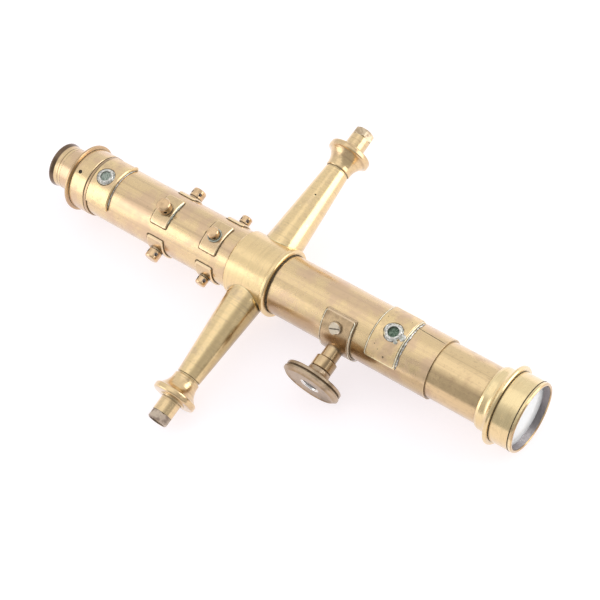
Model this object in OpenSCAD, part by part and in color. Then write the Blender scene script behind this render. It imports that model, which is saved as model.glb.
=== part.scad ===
// Telescope of a surveyors transit, with its horizontal axis, adjusting screws and focusing slide.
// Millimetres. X runs along the tube to the objective, Y along the horizontal axis, Z up.
// The origin is where the centre line of the tube meets that of the horizontal axis.

/* [Main tube] */
// Outside diameter of the main tube
tube_od = 32; // [30:0.5:36]
// Wall of the main tube
tube_wall = 1; // [0.8:0.1:1.2]
// Length of the main tube from the axis back to the eye end
tube_rear = 118; // [112:1:130]
// Length of the main tube from the axis forward to the open end
tube_front = 108; // [104:1:116]

/* [Central band] */
// Wall of the band round the tube
band_wall = 1.6; // [1.2:0.1:2.2]
// How far the band reaches back from the axis
band_rear = 13; // [12:0.5:15]
// How far the band reaches forward of the axis
band_front = 13.4; // [12.5:0.1:16]
// Width of the raised bead at the front of the band
bead_w = 2.8; // [2:0.1:3.5]
// Height of the bead above the band
bead_h = 1.1; // [0.6:0.1:1.6]

/* [Horizontal axis] */
// Radius of each cone where it leaves the band
cone_root_r = 9.8; // [8.5:0.1:11]
// Radius of each cone at its outer end
cone_tip_r = 6.6; // [6.2:0.1:7.4]
// Distance from the centre of the tube to the end of each cone
cone_end = 66.8; // [60:0.2:75]
// Length of the flared collar from the cone to the back of its flange
flare_len = 9.2; // [7:0.1:12]
// Radius of the flange
flange_r = 11.8; // [10:0.1:13]
// Thickness of the flange
flange_t = 3.8; // [3:0.1:5]
// Radius of the pivot that turns in the standard
pivot_r = 5.5; // [4.8:0.05:5.9]
// Length of the pivot
pivot_len = 8; // [6:0.5:12]
// Hexagon nut across its corners
nut_corners = 12; // [11:0.2:14]
// Thickness of the hexagon nut
nut_t = 4.6; // [3.5:0.1:6]
// Radius of the stud that carries the nut
stud_r = 3.2; // [2.6:0.1:3.6]

/* [Eye end] */
// Wall of the rear collar round the tube
collar_wall = 1; // [0.9:0.05:1.6]
// Length of the rear collar
collar_len = 11.8; // [10:0.1:14]
// Height of the lip at the back of the rear collar
lip_h = 1.7; // [1:0.1:3]
// Width of that lip
lip_w = 1.7; // [1.2:0.1:2.4]
// How far the rear collar stands out behind the tube
collar_overhang = 2.8; // [2:0.1:3.6]
// Width of the narrow ring in front of the rear collar
ring_w = 1.8; // [1.4:0.1:2.4]
// Outside radius of the eyepiece tube
eyepiece_r = 11.5; // [10.5:0.1:11.8]
// Wall of the eyepiece tube
eyepiece_wall = 1.1; // [0.8:0.1:1.4]
// How far the eyepiece tube stands out of the rear collar
eyepiece_out = 10.2; // [9.5:0.1:14]
// Length of the eyepiece tube
eyepiece_len = 87; // [84:1:92]
// Length of the flared eye cap
eye_cap_len = 7; // [5.5:0.1:9]
// Radius of the rim of the eye cap
eye_cap_r = 12.4; // [12:0.1:13.5]
// Radius of the eye hole
eye_hole_r = 2.6; // [2:0.1:4]

/* [Adjusting screws] */
// Distance back from the axis to the four eyepiece centring screws
centring_x = 58.6; // [56:0.2:62]
// Distance back from the axis to the four cross-wire screws
reticle_x = 26.2; // [25:0.2:30]
// Radius of the heads of the centring screws
centring_head_r = 3.8; // [3.2:0.1:4.2]
// Height of the heads of the centring screws
centring_head_h = 5.4; // [4:0.1:6.5]
// Radius of the heads of the cross-wire screws
reticle_head_r = 3; // [2.6:0.1:3.6]
// Height of the heads of the cross-wire screws
reticle_head_h = 4.6; // [3.6:0.1:5.5]
// Radius of the screw threads
thread_r = 1.3; // [1:0.05:1.5]
// Radius of the tommy-bar holes in the heads
tommy_r = 1; // [0.6:0.05:1.1]
// Length of each curved washer along the tube
washer_len = 10.4; // [9:0.2:12]
// Half the angle that each curved washer spans
washer_half_angle = 31; // [26:1:34]
// Thickness of each curved washer
washer_t = 0.9; // [0.7:0.05:1.2]
// Length of each inner ring along the tube
inner_ring_len = 6; // [5:0.5:8]
// How far the screws can shift a ring off the centre line
ring_shift = 0.25; // [0.1:0.05:0.3]
// Radius of the clear opening behind the cross wires
reticle_bore_r = 9; // [8:0.25:9.5]

/* [Level saddles] */
// Distance back from the axis to the front edge of the rear saddle
rear_saddle_x = 92; // [88:1:94]
// Length of the front saddle
front_saddle_len = 17.3; // [15:0.1:20]
// Distance forward from the axis to the rear edge of the front saddle
front_saddle_x = 74; // [70:1:76]
// Half the angle that each level saddle spans
saddle_half_angle = 58; // [50:1:66]
// Thickness of each level saddle
saddle_t = 1.5; // [1.2:0.1:2]
// Radius of the hole for a level post
level_hole_r = 2.9; // [2.4:0.1:3.4]
// Wall of the bush round that hole
level_bush_wall = 1.4; // [1:0.1:2]
// Height of the bush
level_bush_h = 1.9; // [1.6:0.1:2.6]

/* [Focusing] */
// Distance forward from the axis to the pinion
pinion_x = 56.3; // [54:0.1:60]
// Number of pinion teeth
pinion_teeth = 10; // [8:1:10]
// Pitch radius of the pinion divided by half its number of teeth
tooth_module = 0.8; // [0.7:0.05:0.8]
// Radius of the pinion shaft
shaft_r = 2.5; // [2:0.1:2.6]
// Length of the bevelled pinion plate along the tube
plate_len = 17.4; // [15:0.1:20]
// Half the angle that the pinion plate spans
plate_half_angle = 77; // [72:1:82]
// Thickness of the pinion plate
plate_t = 1.6; // [1.2:0.1:2]
// Angle from the pinion to each plate screw
plate_screw_angle = 51; // [46:1:56]
// Radius of the bearing sleeve
sleeve_r = 4.5; // [4.3:0.1:4.9]
// Distance from the tube centre to the outer end of the bearing sleeve
sleeve_end = 23.5; // [22:0.1:26]
// Radius of the gland collar
gland_r = 5.8; // [5.4:0.1:6.6]
// Length of the gland collar
gland_len = 6; // [4:0.1:8]
// Radius of the focusing knob
knob_r = 15.7; // [13:0.1:17]
// Width of the rim of the focusing knob
knob_w = 5.4; // [4.8:0.1:7]
// Length of the flared boss behind the knob
knob_boss = 4.6; // [3:0.1:6]
// Radius of the recess for the knob screw
knob_recess_r = 4.6; // [4:0.1:5]

/* [Objective] */
// Radial clearance of the objective draw tube in the main tube
slide_gap = 0.05; // [0.02:0.01:0.08]
// Wall of the draw tube
draw_wall = 1; // [0.8:0.1:1.2]
// How far the draw tube stands out of the main tube
draw_out = 28.4; // [27.5:0.1:34]
// Length of the ogee collar behind the flange
ogee_len = 7.4; // [6:0.1:9]
// Radius of the objective flange
cell_flange_r = 20.7; // [19.8:0.1:22]
// Width of the objective flange
cell_flange_w = 2; // [1.4:0.1:3]
// Radius of the objective cell
cell_r = 18.4; // [18.2:0.1:19]
// Length of the cell in front of the flange
cell_len = 10.4; // [9.6:0.1:12]
// Width of the front bezel
bezel_w = 2; // [1.5:0.1:3]
// Radius of the clear opening of the objective
clear_r = 16; // [14.5:0.1:16.4]

/* [Movement] */
// How far the objective slide can be racked in
slide_in = 26; // [20:0.5:26]
// How far the objective slide can be racked out
slide_out = 8; // [6:0.5:8]

/* [Hidden] */
$fn = 72;

brass = [0.78, 0.64, 0.40];
pale_brass = [0.82, 0.70, 0.48];
dull_brass = [0.60, 0.53, 0.42];
steel = [0.46, 0.42, 0.40];
solder = [0.66, 0.67, 0.62];
blackened = [0.16, 0.14, 0.12];
clear_glass = [0.86, 0.90, 0.88, 0.35];

// Gap at a soldered, screwed or turned joint between two pieces
seat_gap = 0.02;
// Radial clearance of a turning fit
turn_gap = 0.05;
// Gap under a washer that shifts with its screw
washer_gap = 0.3;
// Overshoot of a cut beyond the face that it opens
cut = 1;

tube_r = tube_od / 2;
bore_r = tube_r - tube_wall;
band_r = tube_r + band_wall;
seat_r = tube_r + seat_gap;
collar_r = tube_r + collar_wall;
lip_r = collar_r + lip_h;

// Stub teeth with straight rack flanks, so that so few pinion teeth still roll freely
pressure_angle = 25;
tooth_addendum = 0.69 * tooth_module;
tooth_dedendum = 0.94 * tooth_module;
tooth_backlash = 0.16;
pitch_r = tooth_module * pinion_teeth / 2;
base_r = pitch_r * cos(pressure_angle);
tooth_pitch = PI * tooth_module;
tooth_w = tooth_pitch / 2 - tooth_backlash;

// Angles round the tube from the top towards the near side
TOP = 0;
NEAR = 90;
BOTTOM = 180;
FAR = 270;

// A solid turned about the tube, from points of radius and distance along X
module turned(points) {
    rotate([0, 90, 0]) rotate_extrude() polygon(points);
}

// A solid turned about an axis that points away from the tube centre at an angle
module turned_out(angle, points) {
    rotate([angle, 0, 0]) rotate_extrude() polygon(points);
}

// A plain cylinder that points away from the tube centre at a distance along X
module peg(x, angle, r, from, to) {
    translate([x, 0, 0]) rotate([angle, 0, 0]) translate([0, 0, from]) cylinder(h = to - from, r = r);
}

// A tube wall between two distances along X
module pipe(x0, x1, inner, outer) {
    turned([[inner, x0], [outer, x0], [outer, x1], [inner, x1]]);
}

// Points on a circular arc, as offsets on radius and length
function arc(centre, r, from, to, steps) =
    [for (i = [0:steps]) let (a = from + (to - from) * i / steps) centre + r * [cos(a), sin(a)]];

// A plate bent round the tube, with bevelled edges, centred at an angle
module curved_plate(x0, x1, inner, outer, half_angle, bevel, angle) {
    rotate([angle, 0, 0]) difference() {
        rotate([0, 90, 0]) rotate([0, 0, 180 - half_angle]) rotate_extrude(angle = 2 * half_angle)
            polygon([
                [inner, x0], [outer - bevel, x0], [outer, x0 + bevel],
                [outer, x1 - bevel], [outer - bevel, x1], [inner, x1]
            ]);
        for (side = [-1, 1])
            rotate([side * half_angle, 0, 0]) translate([(x0 + x1) / 2, 0, outer]) rotate([45, 0, 0])
                cube([x1 - x0 + 2 * cut, bevel * sqrt(2), bevel * sqrt(2)], center = true);
    }
}

// Outline of a plate with rounded corners, centred on the origin
function rounded_outline(length, width, corner) = let (x = length / 2 - corner, y = width / 2 - corner)
    concat(arc([x, y], corner, 0, 90, 4), arc([-x, y], corner, 90, 180, 4),
        arc([-x, -y], corner, 180, 270, 4), arc([x, -y], corner, 270, 360, 4));

// A solid rod along the tube
module rod(x0, x1, r) {
    translate([x0, 0, 0]) rotate([0, 90, 0]) cylinder(h = x1 - x0, r = r);
}

// Height of a lens face above its edge at a share of its radius
function face_height(bulge, share) = bulge * (1 - share * share);

// A lens whose faces bulge beyond its edge, or are hollow where a bulge is negative
module lens(x0, x1, r, rear_bulge, front_bulge) {
    turned(concat(
        [for (i = [0:6]) [r * i / 6, x0 - face_height(rear_bulge, i / 6)]],
        [for (i = [6:-1:0]) [r * i / 6, x1 + face_height(front_bulge, i / 6)]]
    ));
}

// Main tube and band

tube_rear_x = -tube_rear;
inner_ring_r = bore_r - ring_shift * sqrt(2) - 0.45;
sleeve_hole_r = max(sleeve_r, pitch_r + tooth_addendum) + 0.4;
screw_slot_r = thread_r + ring_shift * sqrt(2) + 0.15;
plate_shank_r = 1.25;

module main_tube() {
    color(brass) difference() {
        pipe(tube_rear_x, tube_front, bore_r, tube_r);
        for (x = [-centring_x, -reticle_x], angle = [TOP, NEAR, BOTTOM, FAR])
            peg(x, angle, screw_slot_r, tube_r / 2, tube_r + cut);
        peg(pinion_x, NEAR, sleeve_hole_r, tube_r / 2, tube_r + cut);
        for (side = [-1, 1])
            peg(pinion_x, NEAR + side * plate_screw_angle, plate_shank_r + turn_gap, tube_r / 2, tube_r + cut);
    }
}

module central_band() {
    bead_x = band_front - bead_w;
    bead_r = band_r + bead_h;
    round_r = bead_w / 3;
    color(pale_brass) turned(concat(
        [[seat_r, -band_rear], [band_r - 0.4, -band_rear], [band_r, -band_rear + 0.6]],
        [[band_r, bead_x - 0.3], [band_r + bead_h * 0.4, bead_x]],
        arc([bead_r - round_r, bead_x + round_r], round_r, -60, 0, 4),
        arc([bead_r - round_r, band_front - round_r], round_r, 0, 90, 5),
        [[seat_r, band_front]]
    ));
}

// Horizontal axis

collar_start = cone_end + seat_gap;
flange_back = cone_end + flare_len;
flange_front = flange_back + flange_t;
step_h = 0.6;
pivot_start = flange_front + step_h;
pivot_end = pivot_start + pivot_len;
spigot_r = 4;
spigot_len = 8;
groove_w = 1;

// Cone from the band to the flared collar, standing out at an angle
module axis_cone(angle) {
    root = band_r + 0.6;
    color(brass) difference() {
        turned_out(angle, [
            [0, tube_r / 2], [cone_root_r + 0.5, tube_r / 2], [cone_root_r + 0.2, root],
            [cone_tip_r, cone_end - groove_w], [cone_tip_r - 0.5, cone_end - groove_w + 0.3],
            [cone_tip_r - 0.5, cone_end], [spigot_r + seat_gap, cone_end],
            [spigot_r + seat_gap, cone_end - spigot_len], [0, cone_end - spigot_len]
        ]);
        rod(-band_front - cone_root_r, band_front + cone_root_r, band_r + seat_gap);
    }
}

// Flared collar with its flange, pivot and stud, turned in one piece
module pivot_collar(angle) {
    neck = cone_tip_r + 0.4;
    rise = flange_r - 1 - neck;
    flare_start = collar_start + 1.2;
    run = flange_back - flare_start;
    flare_r = (run * run + rise * rise) / (2 * rise);
    color(pale_brass) turned_out(angle, concat(
        [[0, collar_start - spigot_len + 0.3], [spigot_r, collar_start - spigot_len + 0.3], [spigot_r, collar_start]],
        [[neck - 0.4, collar_start], [neck, collar_start + 0.4]],
        arc([neck + flare_r, flare_start], flare_r, 180, 180 - asin(run / flare_r), 8),
        [[flange_r - 0.2, flange_back + 0.4], [flange_r, flange_back + 1]],
        arc([flange_r - 1.1, flange_front - 1.3], 1.1, 0, 80, 4),
        [[pivot_r + 1.4, flange_front], [pivot_r + 1.2, pivot_start], [pivot_r, pivot_start], [pivot_r, pivot_end]],
        [[stud_r, pivot_end], [stud_r, pivot_end + nut_t - 0.9], [stud_r - 0.3, pivot_end + nut_t - 0.6]],
        [[stud_r * 0.45, pivot_end + nut_t - 0.6], [0, pivot_end + nut_t - 0.6 - stud_r * 0.3]]
    ));
}

// Hexagon nut with bevelled corners and a recess round the end of its stud
module pivot_nut(angle) {
    start = pivot_end + seat_gap;
    corner = nut_corners / 2;
    face = corner * cos(30);
    color(steel) difference() {
        intersection() {
            rotate([angle, 0, 0]) translate([0, 0, start]) cylinder(h = nut_t, r = corner, $fn = 6);
            turned_out(angle, [
                [0, start], [face, start], [corner, start + 0.6],
                [corner, start + nut_t - 1], [face - 0.4, start + nut_t], [0, start + nut_t]
            ]);
        }
        peg(0, angle, stud_r + seat_gap, start - cut, start + nut_t + cut);
        peg(0, angle, face - 0.9, start + nut_t - 0.5, start + nut_t + cut);
    }
}

// Rear collar and eyepiece

collar_back_x = tube_rear_x - collar_overhang;
collar_front_x = collar_back_x + collar_len;
collar_bore_r = eyepiece_r + turn_gap;
guide_wall = 1.6;
guide_len = 10;
ring_back_x = collar_front_x + 0.25;
ring_front_x = ring_back_x + ring_w;
collar_screw_r = 1.1;
collar_screw_angle = 14;
collar_screw_x = collar_front_x - 6.2;

module rear_collar() {
    color(pale_brass) difference() {
        turned([
            [collar_bore_r + 0.4, collar_back_x], [lip_r - 0.6, collar_back_x], [lip_r, collar_back_x + 0.6],
            [lip_r, collar_back_x + lip_w - 0.3], [lip_r - 0.3, collar_back_x + lip_w],
            [collar_r, collar_back_x + lip_w + 0.3], [collar_r, collar_front_x - 0.3],
            [collar_r - 0.3, collar_front_x], [seat_r, collar_front_x], [seat_r, tube_rear_x - seat_gap],
            [bore_r - seat_gap, tube_rear_x - seat_gap], [bore_r - seat_gap, tube_rear_x + 2],
            [collar_bore_r + guide_wall, tube_rear_x + 2], [collar_bore_r + guide_wall, tube_rear_x + guide_len],
            [collar_bore_r, tube_rear_x + guide_len], [collar_bore_r, collar_back_x + 0.4]
        ]);
        peg(collar_screw_x, collar_screw_angle, collar_screw_r + seat_gap, tube_r - cut, collar_r + cut);
    }
}

// Slotted set screw that holds the rear collar on the tube
module collar_screw() {
    color(blackened) difference() {
        peg(collar_screw_x, collar_screw_angle, collar_screw_r, tube_r + seat_gap, collar_r - 0.35);
        translate([collar_screw_x, 0, 0]) rotate([collar_screw_angle, 0, 0]) translate([0, 0, collar_r])
            cube([0.4, 2 * collar_screw_r + cut, 1.3], center = true);
    }
}

module rear_ring() {
    color(pale_brass) turned([
        [seat_r, ring_back_x], [collar_r - 0.5, ring_back_x], [collar_r - 0.2, ring_back_x + 0.3],
        [collar_r - 0.2, ring_front_x - 0.3], [collar_r - 0.5, ring_front_x], [seat_r, ring_front_x]
    ]);
}

eyepiece_back_x = collar_back_x - eyepiece_out;
eyepiece_front_x = eyepiece_back_x + eyepiece_len;
eyepiece_bore_r = eyepiece_r - eyepiece_wall;
lens_r = eyepiece_bore_r - seat_gap;

module eyepiece_tube() {
    color(brass) turned([
        [eyepiece_bore_r, eyepiece_back_x], [eyepiece_r, eyepiece_back_x],
        [eyepiece_r, eyepiece_front_x - 0.4], [eyepiece_r - 0.4, eyepiece_front_x],
        [eyepiece_bore_r, eyepiece_front_x]
    ]);
}

module eye_cap() {
    front = eyepiece_back_x - seat_gap;
    back = front - eye_cap_len;
    spigot = 3;
    color(blackened) turned([
        [eye_hole_r, back + 2.2], [eye_hole_r + 1.2, back + 1.6], [eye_cap_r - 2.6, back + 0.7],
        [eye_cap_r - 1.2, back], [eye_cap_r - 0.3, back], [eye_cap_r, back + 0.5],
        [eye_cap_r - 0.1, back + 1.2], [eyepiece_r + 0.25, back + 3], [eyepiece_r + 0.1, back + 4.4],
        [eyepiece_r + 0.1, front], [lens_r, front], [lens_r, front + spigot],
        [lens_r - 1, front + spigot], [lens_r - 1, back + 3.4], [eye_hole_r, back + 3.2]
    ]);
}

eye_lens_x = eyepiece_back_x + 0.06 * eyepiece_len;
field_lens_x = eyepiece_back_x + 0.28 * eyepiece_len;
erector_rear_x = eyepiece_back_x + 0.6 * eyepiece_len;
erector_front_x = eyepiece_back_x + 0.93 * eyepiece_len;
eyepiece_lens_edge = 1.4;

module eye_lens() {
    color(clear_glass) lens(eye_lens_x, eye_lens_x + eyepiece_lens_edge, lens_r, 0.4, 1.8);
}

module field_lens() {
    color(clear_glass) lens(field_lens_x, field_lens_x + eyepiece_lens_edge, lens_r, 0.4, 1.8);
}

module erector_lens_rear() {
    color(clear_glass) lens(erector_rear_x, erector_rear_x + eyepiece_lens_edge, lens_r, 1.2, 0.4);
}

module erector_lens_front() {
    color(clear_glass) lens(erector_front_x, erector_front_x + eyepiece_lens_edge, lens_r, 1.2, 0.4);
}

// Blackened disc with a small hole that stops stray light between the erecting lenses
module eyepiece_stop() {
    x = (erector_rear_x + erector_front_x) / 2;
    color(blackened) turned([
        [2, x], [lens_r - 1, x], [lens_r - 1, x - 1.5], [lens_r, x - 1.5], [lens_r, x + 0.8], [2, x + 0.8]
    ]);
}

// Adjusting screws, their curved washers and the rings that they shift

washer_inner_r = tube_r + washer_gap;
washer_outer_r = washer_inner_r + washer_t;
washer_boss_r = washer_outer_r + 0.25;
head_seat = washer_boss_r + turn_gap;
neck_r = thread_r + 0.5;

module adjusting_washer(x, angle, head_r) {
    width = 2 * washer_outer_r * sin(washer_half_angle);
    half = washer_len / 2;
    bevel = 0.4;
    corner = 1.1;
    color(pale_brass) translate([x, 0, 0]) difference() {
        union() {
            intersection() {
                turned([
                    [washer_inner_r, -half], [washer_outer_r - bevel, -half], [washer_outer_r, bevel - half],
                    [washer_outer_r, half - bevel], [washer_outer_r - bevel, half], [washer_inner_r, half]
                ]);
                rotate([angle, 0, 0]) translate([0, 0, washer_inner_r / 2]) linear_extrude(washer_inner_r)
                    polygon(rounded_outline(washer_len + 0.1, width, corner));
            }
            peg(0, angle, head_r - 0.3, washer_inner_r + washer_t / 3, washer_boss_r);
        }
        peg(0, angle, neck_r + turn_gap, washer_inner_r / 2, washer_boss_r + cut);
    }
}

// Capstan screw with a domed head drilled across both ways for a tommy bar
module capstan_screw(x, angle, head_r, head_h, tip) {
    top = head_seat + head_h;
    hole_at = head_seat + head_h * 0.42;
    color(brass) translate([x, 0, 0]) difference() {
        turned_out(angle, [
            [0, tip], [thread_r - 0.3, tip], [thread_r, tip + 0.3], [thread_r, washer_inner_r + 0.1],
            [neck_r, washer_inner_r + 0.3], [neck_r, head_seat], [head_r - 0.4, head_seat],
            [head_r, head_seat + 0.4], [head_r, top - 0.9], [head_r - 0.35, top - 0.35],
            [head_r - 1.1, top - 0.08], [0, top]
        ]);
        for (turn = [45, 135])
            rotate([angle, 0, 0]) translate([0, 0, hole_at]) rotate([0, 0, turn]) rotate([0, 90, 0])
                cylinder(h = 2 * head_r + cut, r = tommy_r, center = true);
    }
}

// Inner ring with four threaded holes for the adjusting screws
module inner_ring(x, bore) {
    difference() {
        pipe(x - inner_ring_len / 2, x + inner_ring_len / 2, bore, inner_ring_r);
        for (angle = [TOP, NEAR, BOTTOM, FAR])
            peg(x, angle, thread_r + turn_gap, bore / 2, inner_ring_r + cut);
    }
}

centring_bore_r = eyepiece_r + ring_shift * sqrt(2) + turn_gap;
centring_tip = centring_bore_r + ring_shift + 0.1;
reticle_tip = reticle_bore_r + ring_shift + 1;

module centring_ring() {
    color(brass) inner_ring(-centring_x, centring_bore_r);
}

module reticle_ring() {
    color(brass) inner_ring(-reticle_x, reticle_bore_r);
}

// Upright, level and two stadia wires stretched across the front of the ring
module cross_wires() {
    wire_r = 0.1;
    reach = reticle_bore_r + 1.5;
    x = -reticle_x + inner_ring_len / 2 + wire_r + seat_gap;
    color(blackened) union() {
        translate([x, 0, 0]) cylinder(h = 2 * reach, r = wire_r, center = true);
        for (z = [-reticle_bore_r / 3, 0, reticle_bore_r / 3])
            translate([x, 0, z]) rotate([90, 0, 0]) cylinder(h = 2 * reach, r = wire_r, center = true);
    }
}

module centring_washer(angle) {
    adjusting_washer(-centring_x, angle, centring_head_r);
}

module reticle_washer(angle) {
    adjusting_washer(-reticle_x, angle, reticle_head_r);
}

module centring_screw(angle) {
    capstan_screw(-centring_x, angle, centring_head_r, centring_head_h, centring_tip);
}

module reticle_screw(angle) {
    capstan_screw(-reticle_x, angle, reticle_head_r, reticle_head_h, reticle_tip);
}

// Level saddles

saddle_r = tube_r + saddle_t;
bush_r = level_hole_r + level_bush_wall;
bush_base = tube_r + seat_gap;
rear_hole_x = -(rear_saddle_x + 8);
front_hole_x = front_saddle_x + front_saddle_len * 0.56;

// Bush that a level post stands in, let into a saddle at the top of the tube
module level_bush(x) {
    top = bush_base + level_bush_h;
    color(solder) translate([x, 0, 0]) turned_out(TOP, [
        [level_hole_r, bush_base], [bush_r, bush_base], [bush_r, top - 0.5], [bush_r - 0.5, top],
        [level_hole_r, top]
    ]);
}

module level_saddle_rear() {
    lip = 1.6;
    x0 = ring_front_x + seat_gap;
    color(pale_brass) difference() {
        union() {
            curved_plate(x0, -rear_saddle_x - lip / 2, seat_r, saddle_r - 0.3, saddle_half_angle, 0.4, TOP);
            curved_plate(-rear_saddle_x - lip, -rear_saddle_x, seat_r, saddle_r + 0.3, saddle_half_angle, 0.5, TOP);
        }
        peg(rear_hole_x, TOP, bush_r + seat_gap, tube_r / 2, saddle_r + cut);
    }
}

module level_saddle_front() {
    color(pale_brass) difference() {
        curved_plate(front_saddle_x, front_saddle_x + front_saddle_len, seat_r, saddle_r, saddle_half_angle, 0.9, TOP);
        peg(front_hole_x, TOP, bush_r + seat_gap, tube_r / 2, saddle_r + cut);
    }
}

// Pinion plate, bearing and gland

plate_r = tube_r + plate_t;
plate_x0 = pinion_x - plate_len / 2;
shoulder_r = 3.6;
shoulder_from = sleeve_end - 3.4;
shoulder_to = sleeve_end - 0.3;
gland_start = sleeve_end + seat_gap;
gland_end = gland_start + gland_len;

module pinion_plate() {
    color(brass) difference() {
        curved_plate(plate_x0, plate_x0 + plate_len, seat_r, plate_r, plate_half_angle, 1, NEAR);
        peg(pinion_x, NEAR, sleeve_r + seat_gap, tube_r / 2, plate_r + cut);
        for (side = [-1, 1])
            peg(pinion_x, NEAR + side * plate_screw_angle, plate_shank_r + turn_gap, tube_r - cut, plate_r + cut);
    }
}

// Slotted cheese-head screw through the pinion plate
module plate_screw(side) {
    head_r = 3.2;
    head_h = 2;
    base = plate_r + seat_gap;
    color(pale_brass) translate([pinion_x, 0, 0]) rotate([NEAR + side * plate_screw_angle, 0, 0]) difference() {
        rotate_extrude() polygon([
            [0, bore_r + 0.1], [plate_shank_r, bore_r + 0.1], [plate_shank_r, base], [head_r, base],
            [head_r, base + head_h - 0.5], [head_r - 0.5, base + head_h], [0, base + head_h]
        ]);
        translate([0, 0, base + head_h]) rotate([0, 0, 20]) cube([2 * head_r + cut, 0.8, 1.6], center = true);
    }
}

module pinion_sleeve() {
    start = bore_r + 0.5;
    color(brass) translate([pinion_x, 0, 0]) turned_out(NEAR, [
        [shaft_r + turn_gap, start], [sleeve_r, start], [sleeve_r, sleeve_end - 0.3], [sleeve_r - 0.3, sleeve_end],
        [shoulder_r + turn_gap, sleeve_end], [shoulder_r + turn_gap, shoulder_from - 0.1],
        [shaft_r + turn_gap, shoulder_from - 0.1]
    ]);
}

module sleeve_gland() {
    color(brass) translate([pinion_x, 0, 0]) turned_out(NEAR, [
        [shaft_r + turn_gap, gland_start], [gland_r - 0.4, gland_start], [gland_r, gland_start + 0.4],
        [gland_r, gland_end - 0.3], [gland_r - 0.3, gland_end], [shaft_r + turn_gap, gland_end]
    ]);
}

// Rack and pinion

rack_depth = 2.7;
rack_back = 4.2;

draw_r = bore_r - slide_gap;
draw_bore_r = draw_r - draw_wall;
rack_low = pitch_r + rack_back;
rack_outer = sqrt(draw_bore_r * draw_bore_r - rack_low * rack_low) - seat_gap;
pinion_tip = rack_outer - rack_depth - 0.1;
pinion_top = draw_r - draw_wall / 2;
knob_back = gland_end + 0.15;
knob_front = knob_back + knob_boss + knob_w;
recess_depth = 2.6;
shaft_short = recess_depth + 0.2;

// Angle that an involute turns through from its base circle out to a radius
function involute_angle(r) = sqrt(r * r / (base_r * base_r) - 1) * 180 / PI - acos(base_r / r);

// Half the angle that a tooth spans at a radius
function half_tooth(r) =
    tooth_w / (2 * pitch_r) * 180 / PI + involute_angle(pitch_r) - involute_angle(max(r, base_r));

function polar(r, a) = [r * cos(a), r * sin(a)];

// Outline of the pinion, one tooth at a time
function pinion_outline() = let (
    root = pitch_r - tooth_dedendum,
    tip = pitch_r + tooth_addendum,
    radii = [root, base_r, (base_r + pitch_r) / 2, pitch_r, (pitch_r + tip) / 2, tip]
) [
    for (tooth = [0:pinion_teeth - 1]) let (middle = 360 * tooth / pinion_teeth) each concat(
        [for (i = [0:5]) polar(radii[i], middle - half_tooth(radii[i]))],
        [for (i = [5:-1:0]) polar(radii[i], middle + half_tooth(radii[i]))]
    )
];

module focus_pinion() {
    color(steel) translate([pinion_x, 0, 0]) rotate([NEAR, 0, 0]) {
        translate([0, 0, pinion_tip]) rotate([0, 0, -90]) linear_extrude(pinion_top - pinion_tip)
            polygon(pinion_outline());
        rotate_extrude() polygon([
            [0, pinion_top - cut], [shaft_r, pinion_top - cut], [shaft_r, shoulder_from], [shoulder_r, shoulder_from],
            [shoulder_r, shoulder_to], [shaft_r, shoulder_to], [shaft_r, knob_front - shaft_short],
            [0, knob_front - shaft_short]
        ]);
    }
}

rack_x0 = pinion_x - slide_out - 2 * tooth_pitch;
rack_x1 = pinion_x + slide_in + 2 * tooth_pitch;

// Outline of the rack, with a gap that faces the pinion when the slide is at rest
function rack_outline() = let (
    first = -floor((pinion_x - rack_x0) / tooth_pitch) + 0.5,
    last = floor((rack_x1 - pinion_x) / tooth_pitch) - 0.5,
    top = -pitch_r + tooth_addendum,
    root = -pitch_r - tooth_dedendum,
    half_top = tooth_w / 2 - tooth_addendum * tan(pressure_angle),
    half_root = tooth_w / 2 + tooth_dedendum * tan(pressure_angle)
) concat(
    [[rack_x0, -rack_low], [rack_x0, root]],
    [for (n = [first:last]) let (middle = pinion_x + n * tooth_pitch) each [
        [middle - half_root, root], [middle - half_top, top], [middle + half_top, top], [middle + half_root, root]
    ]],
    [[rack_x1, root], [rack_x1, -rack_low]]
);

// Rack soldered inside the draw tube, with its teeth on its upper edge
module focus_rack() {
    color(steel) rotate([NEAR, 0, 0]) translate([0, 0, rack_outer - rack_depth]) linear_extrude(rack_depth)
        polygon(rack_outline());
}

draw_rear_x = rack_x0 - 6;
cell_back_x = tube_front + draw_out;
draw_front_x = cell_back_x + 6;

module draw_tube() {
    window_r = pitch_r + tooth_addendum + 0.35;
    color(brass) difference() {
        pipe(draw_rear_x, draw_front_x, draw_bore_r, draw_r);
        translate([pinion_x - slide_out, 0, 0]) rotate([NEAR, 0, 0]) translate([0, -window_r, tube_r / 2])
            cube([slide_out + slide_in, 2 * window_r, tube_r]);
        for (x = [pinion_x - slide_out, pinion_x + slide_in])
            peg(x, NEAR, window_r, tube_r / 2, tube_r + cut);
    }
}

// Diaphragm inside the rear end of the draw tube
module slide_stop() {
    stop_r = draw_bore_r - seat_gap;
    color(blackened) turned([
        [stop_r - 3.5, draw_rear_x + 1], [stop_r - 1, draw_rear_x + 1], [stop_r - 1, draw_rear_x],
        [stop_r, draw_rear_x], [stop_r, draw_rear_x + 4], [stop_r - 1, draw_rear_x + 4],
        [stop_r - 1, draw_rear_x + 1.8], [stop_r - 3.5, draw_rear_x + 1.8]
    ]);
}

// Objective

flange_back_x = cell_back_x + ogee_len;
flange_front_x = flange_back_x + cell_flange_w;
cell_front_x = flange_front_x + cell_len;
cell_bore_r = clear_r + 0.7;
glass_r = cell_bore_r - seat_gap;
shoulder_x = draw_front_x + 1.4;
flint_x0 = shoulder_x + 0.1;
flint_x1 = flint_x0 + 4.2;
crown_x0 = flint_x1 + 0.2;
crown_x1 = crown_x0 + 2.4;
crown_bulge = 1.8;

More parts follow.
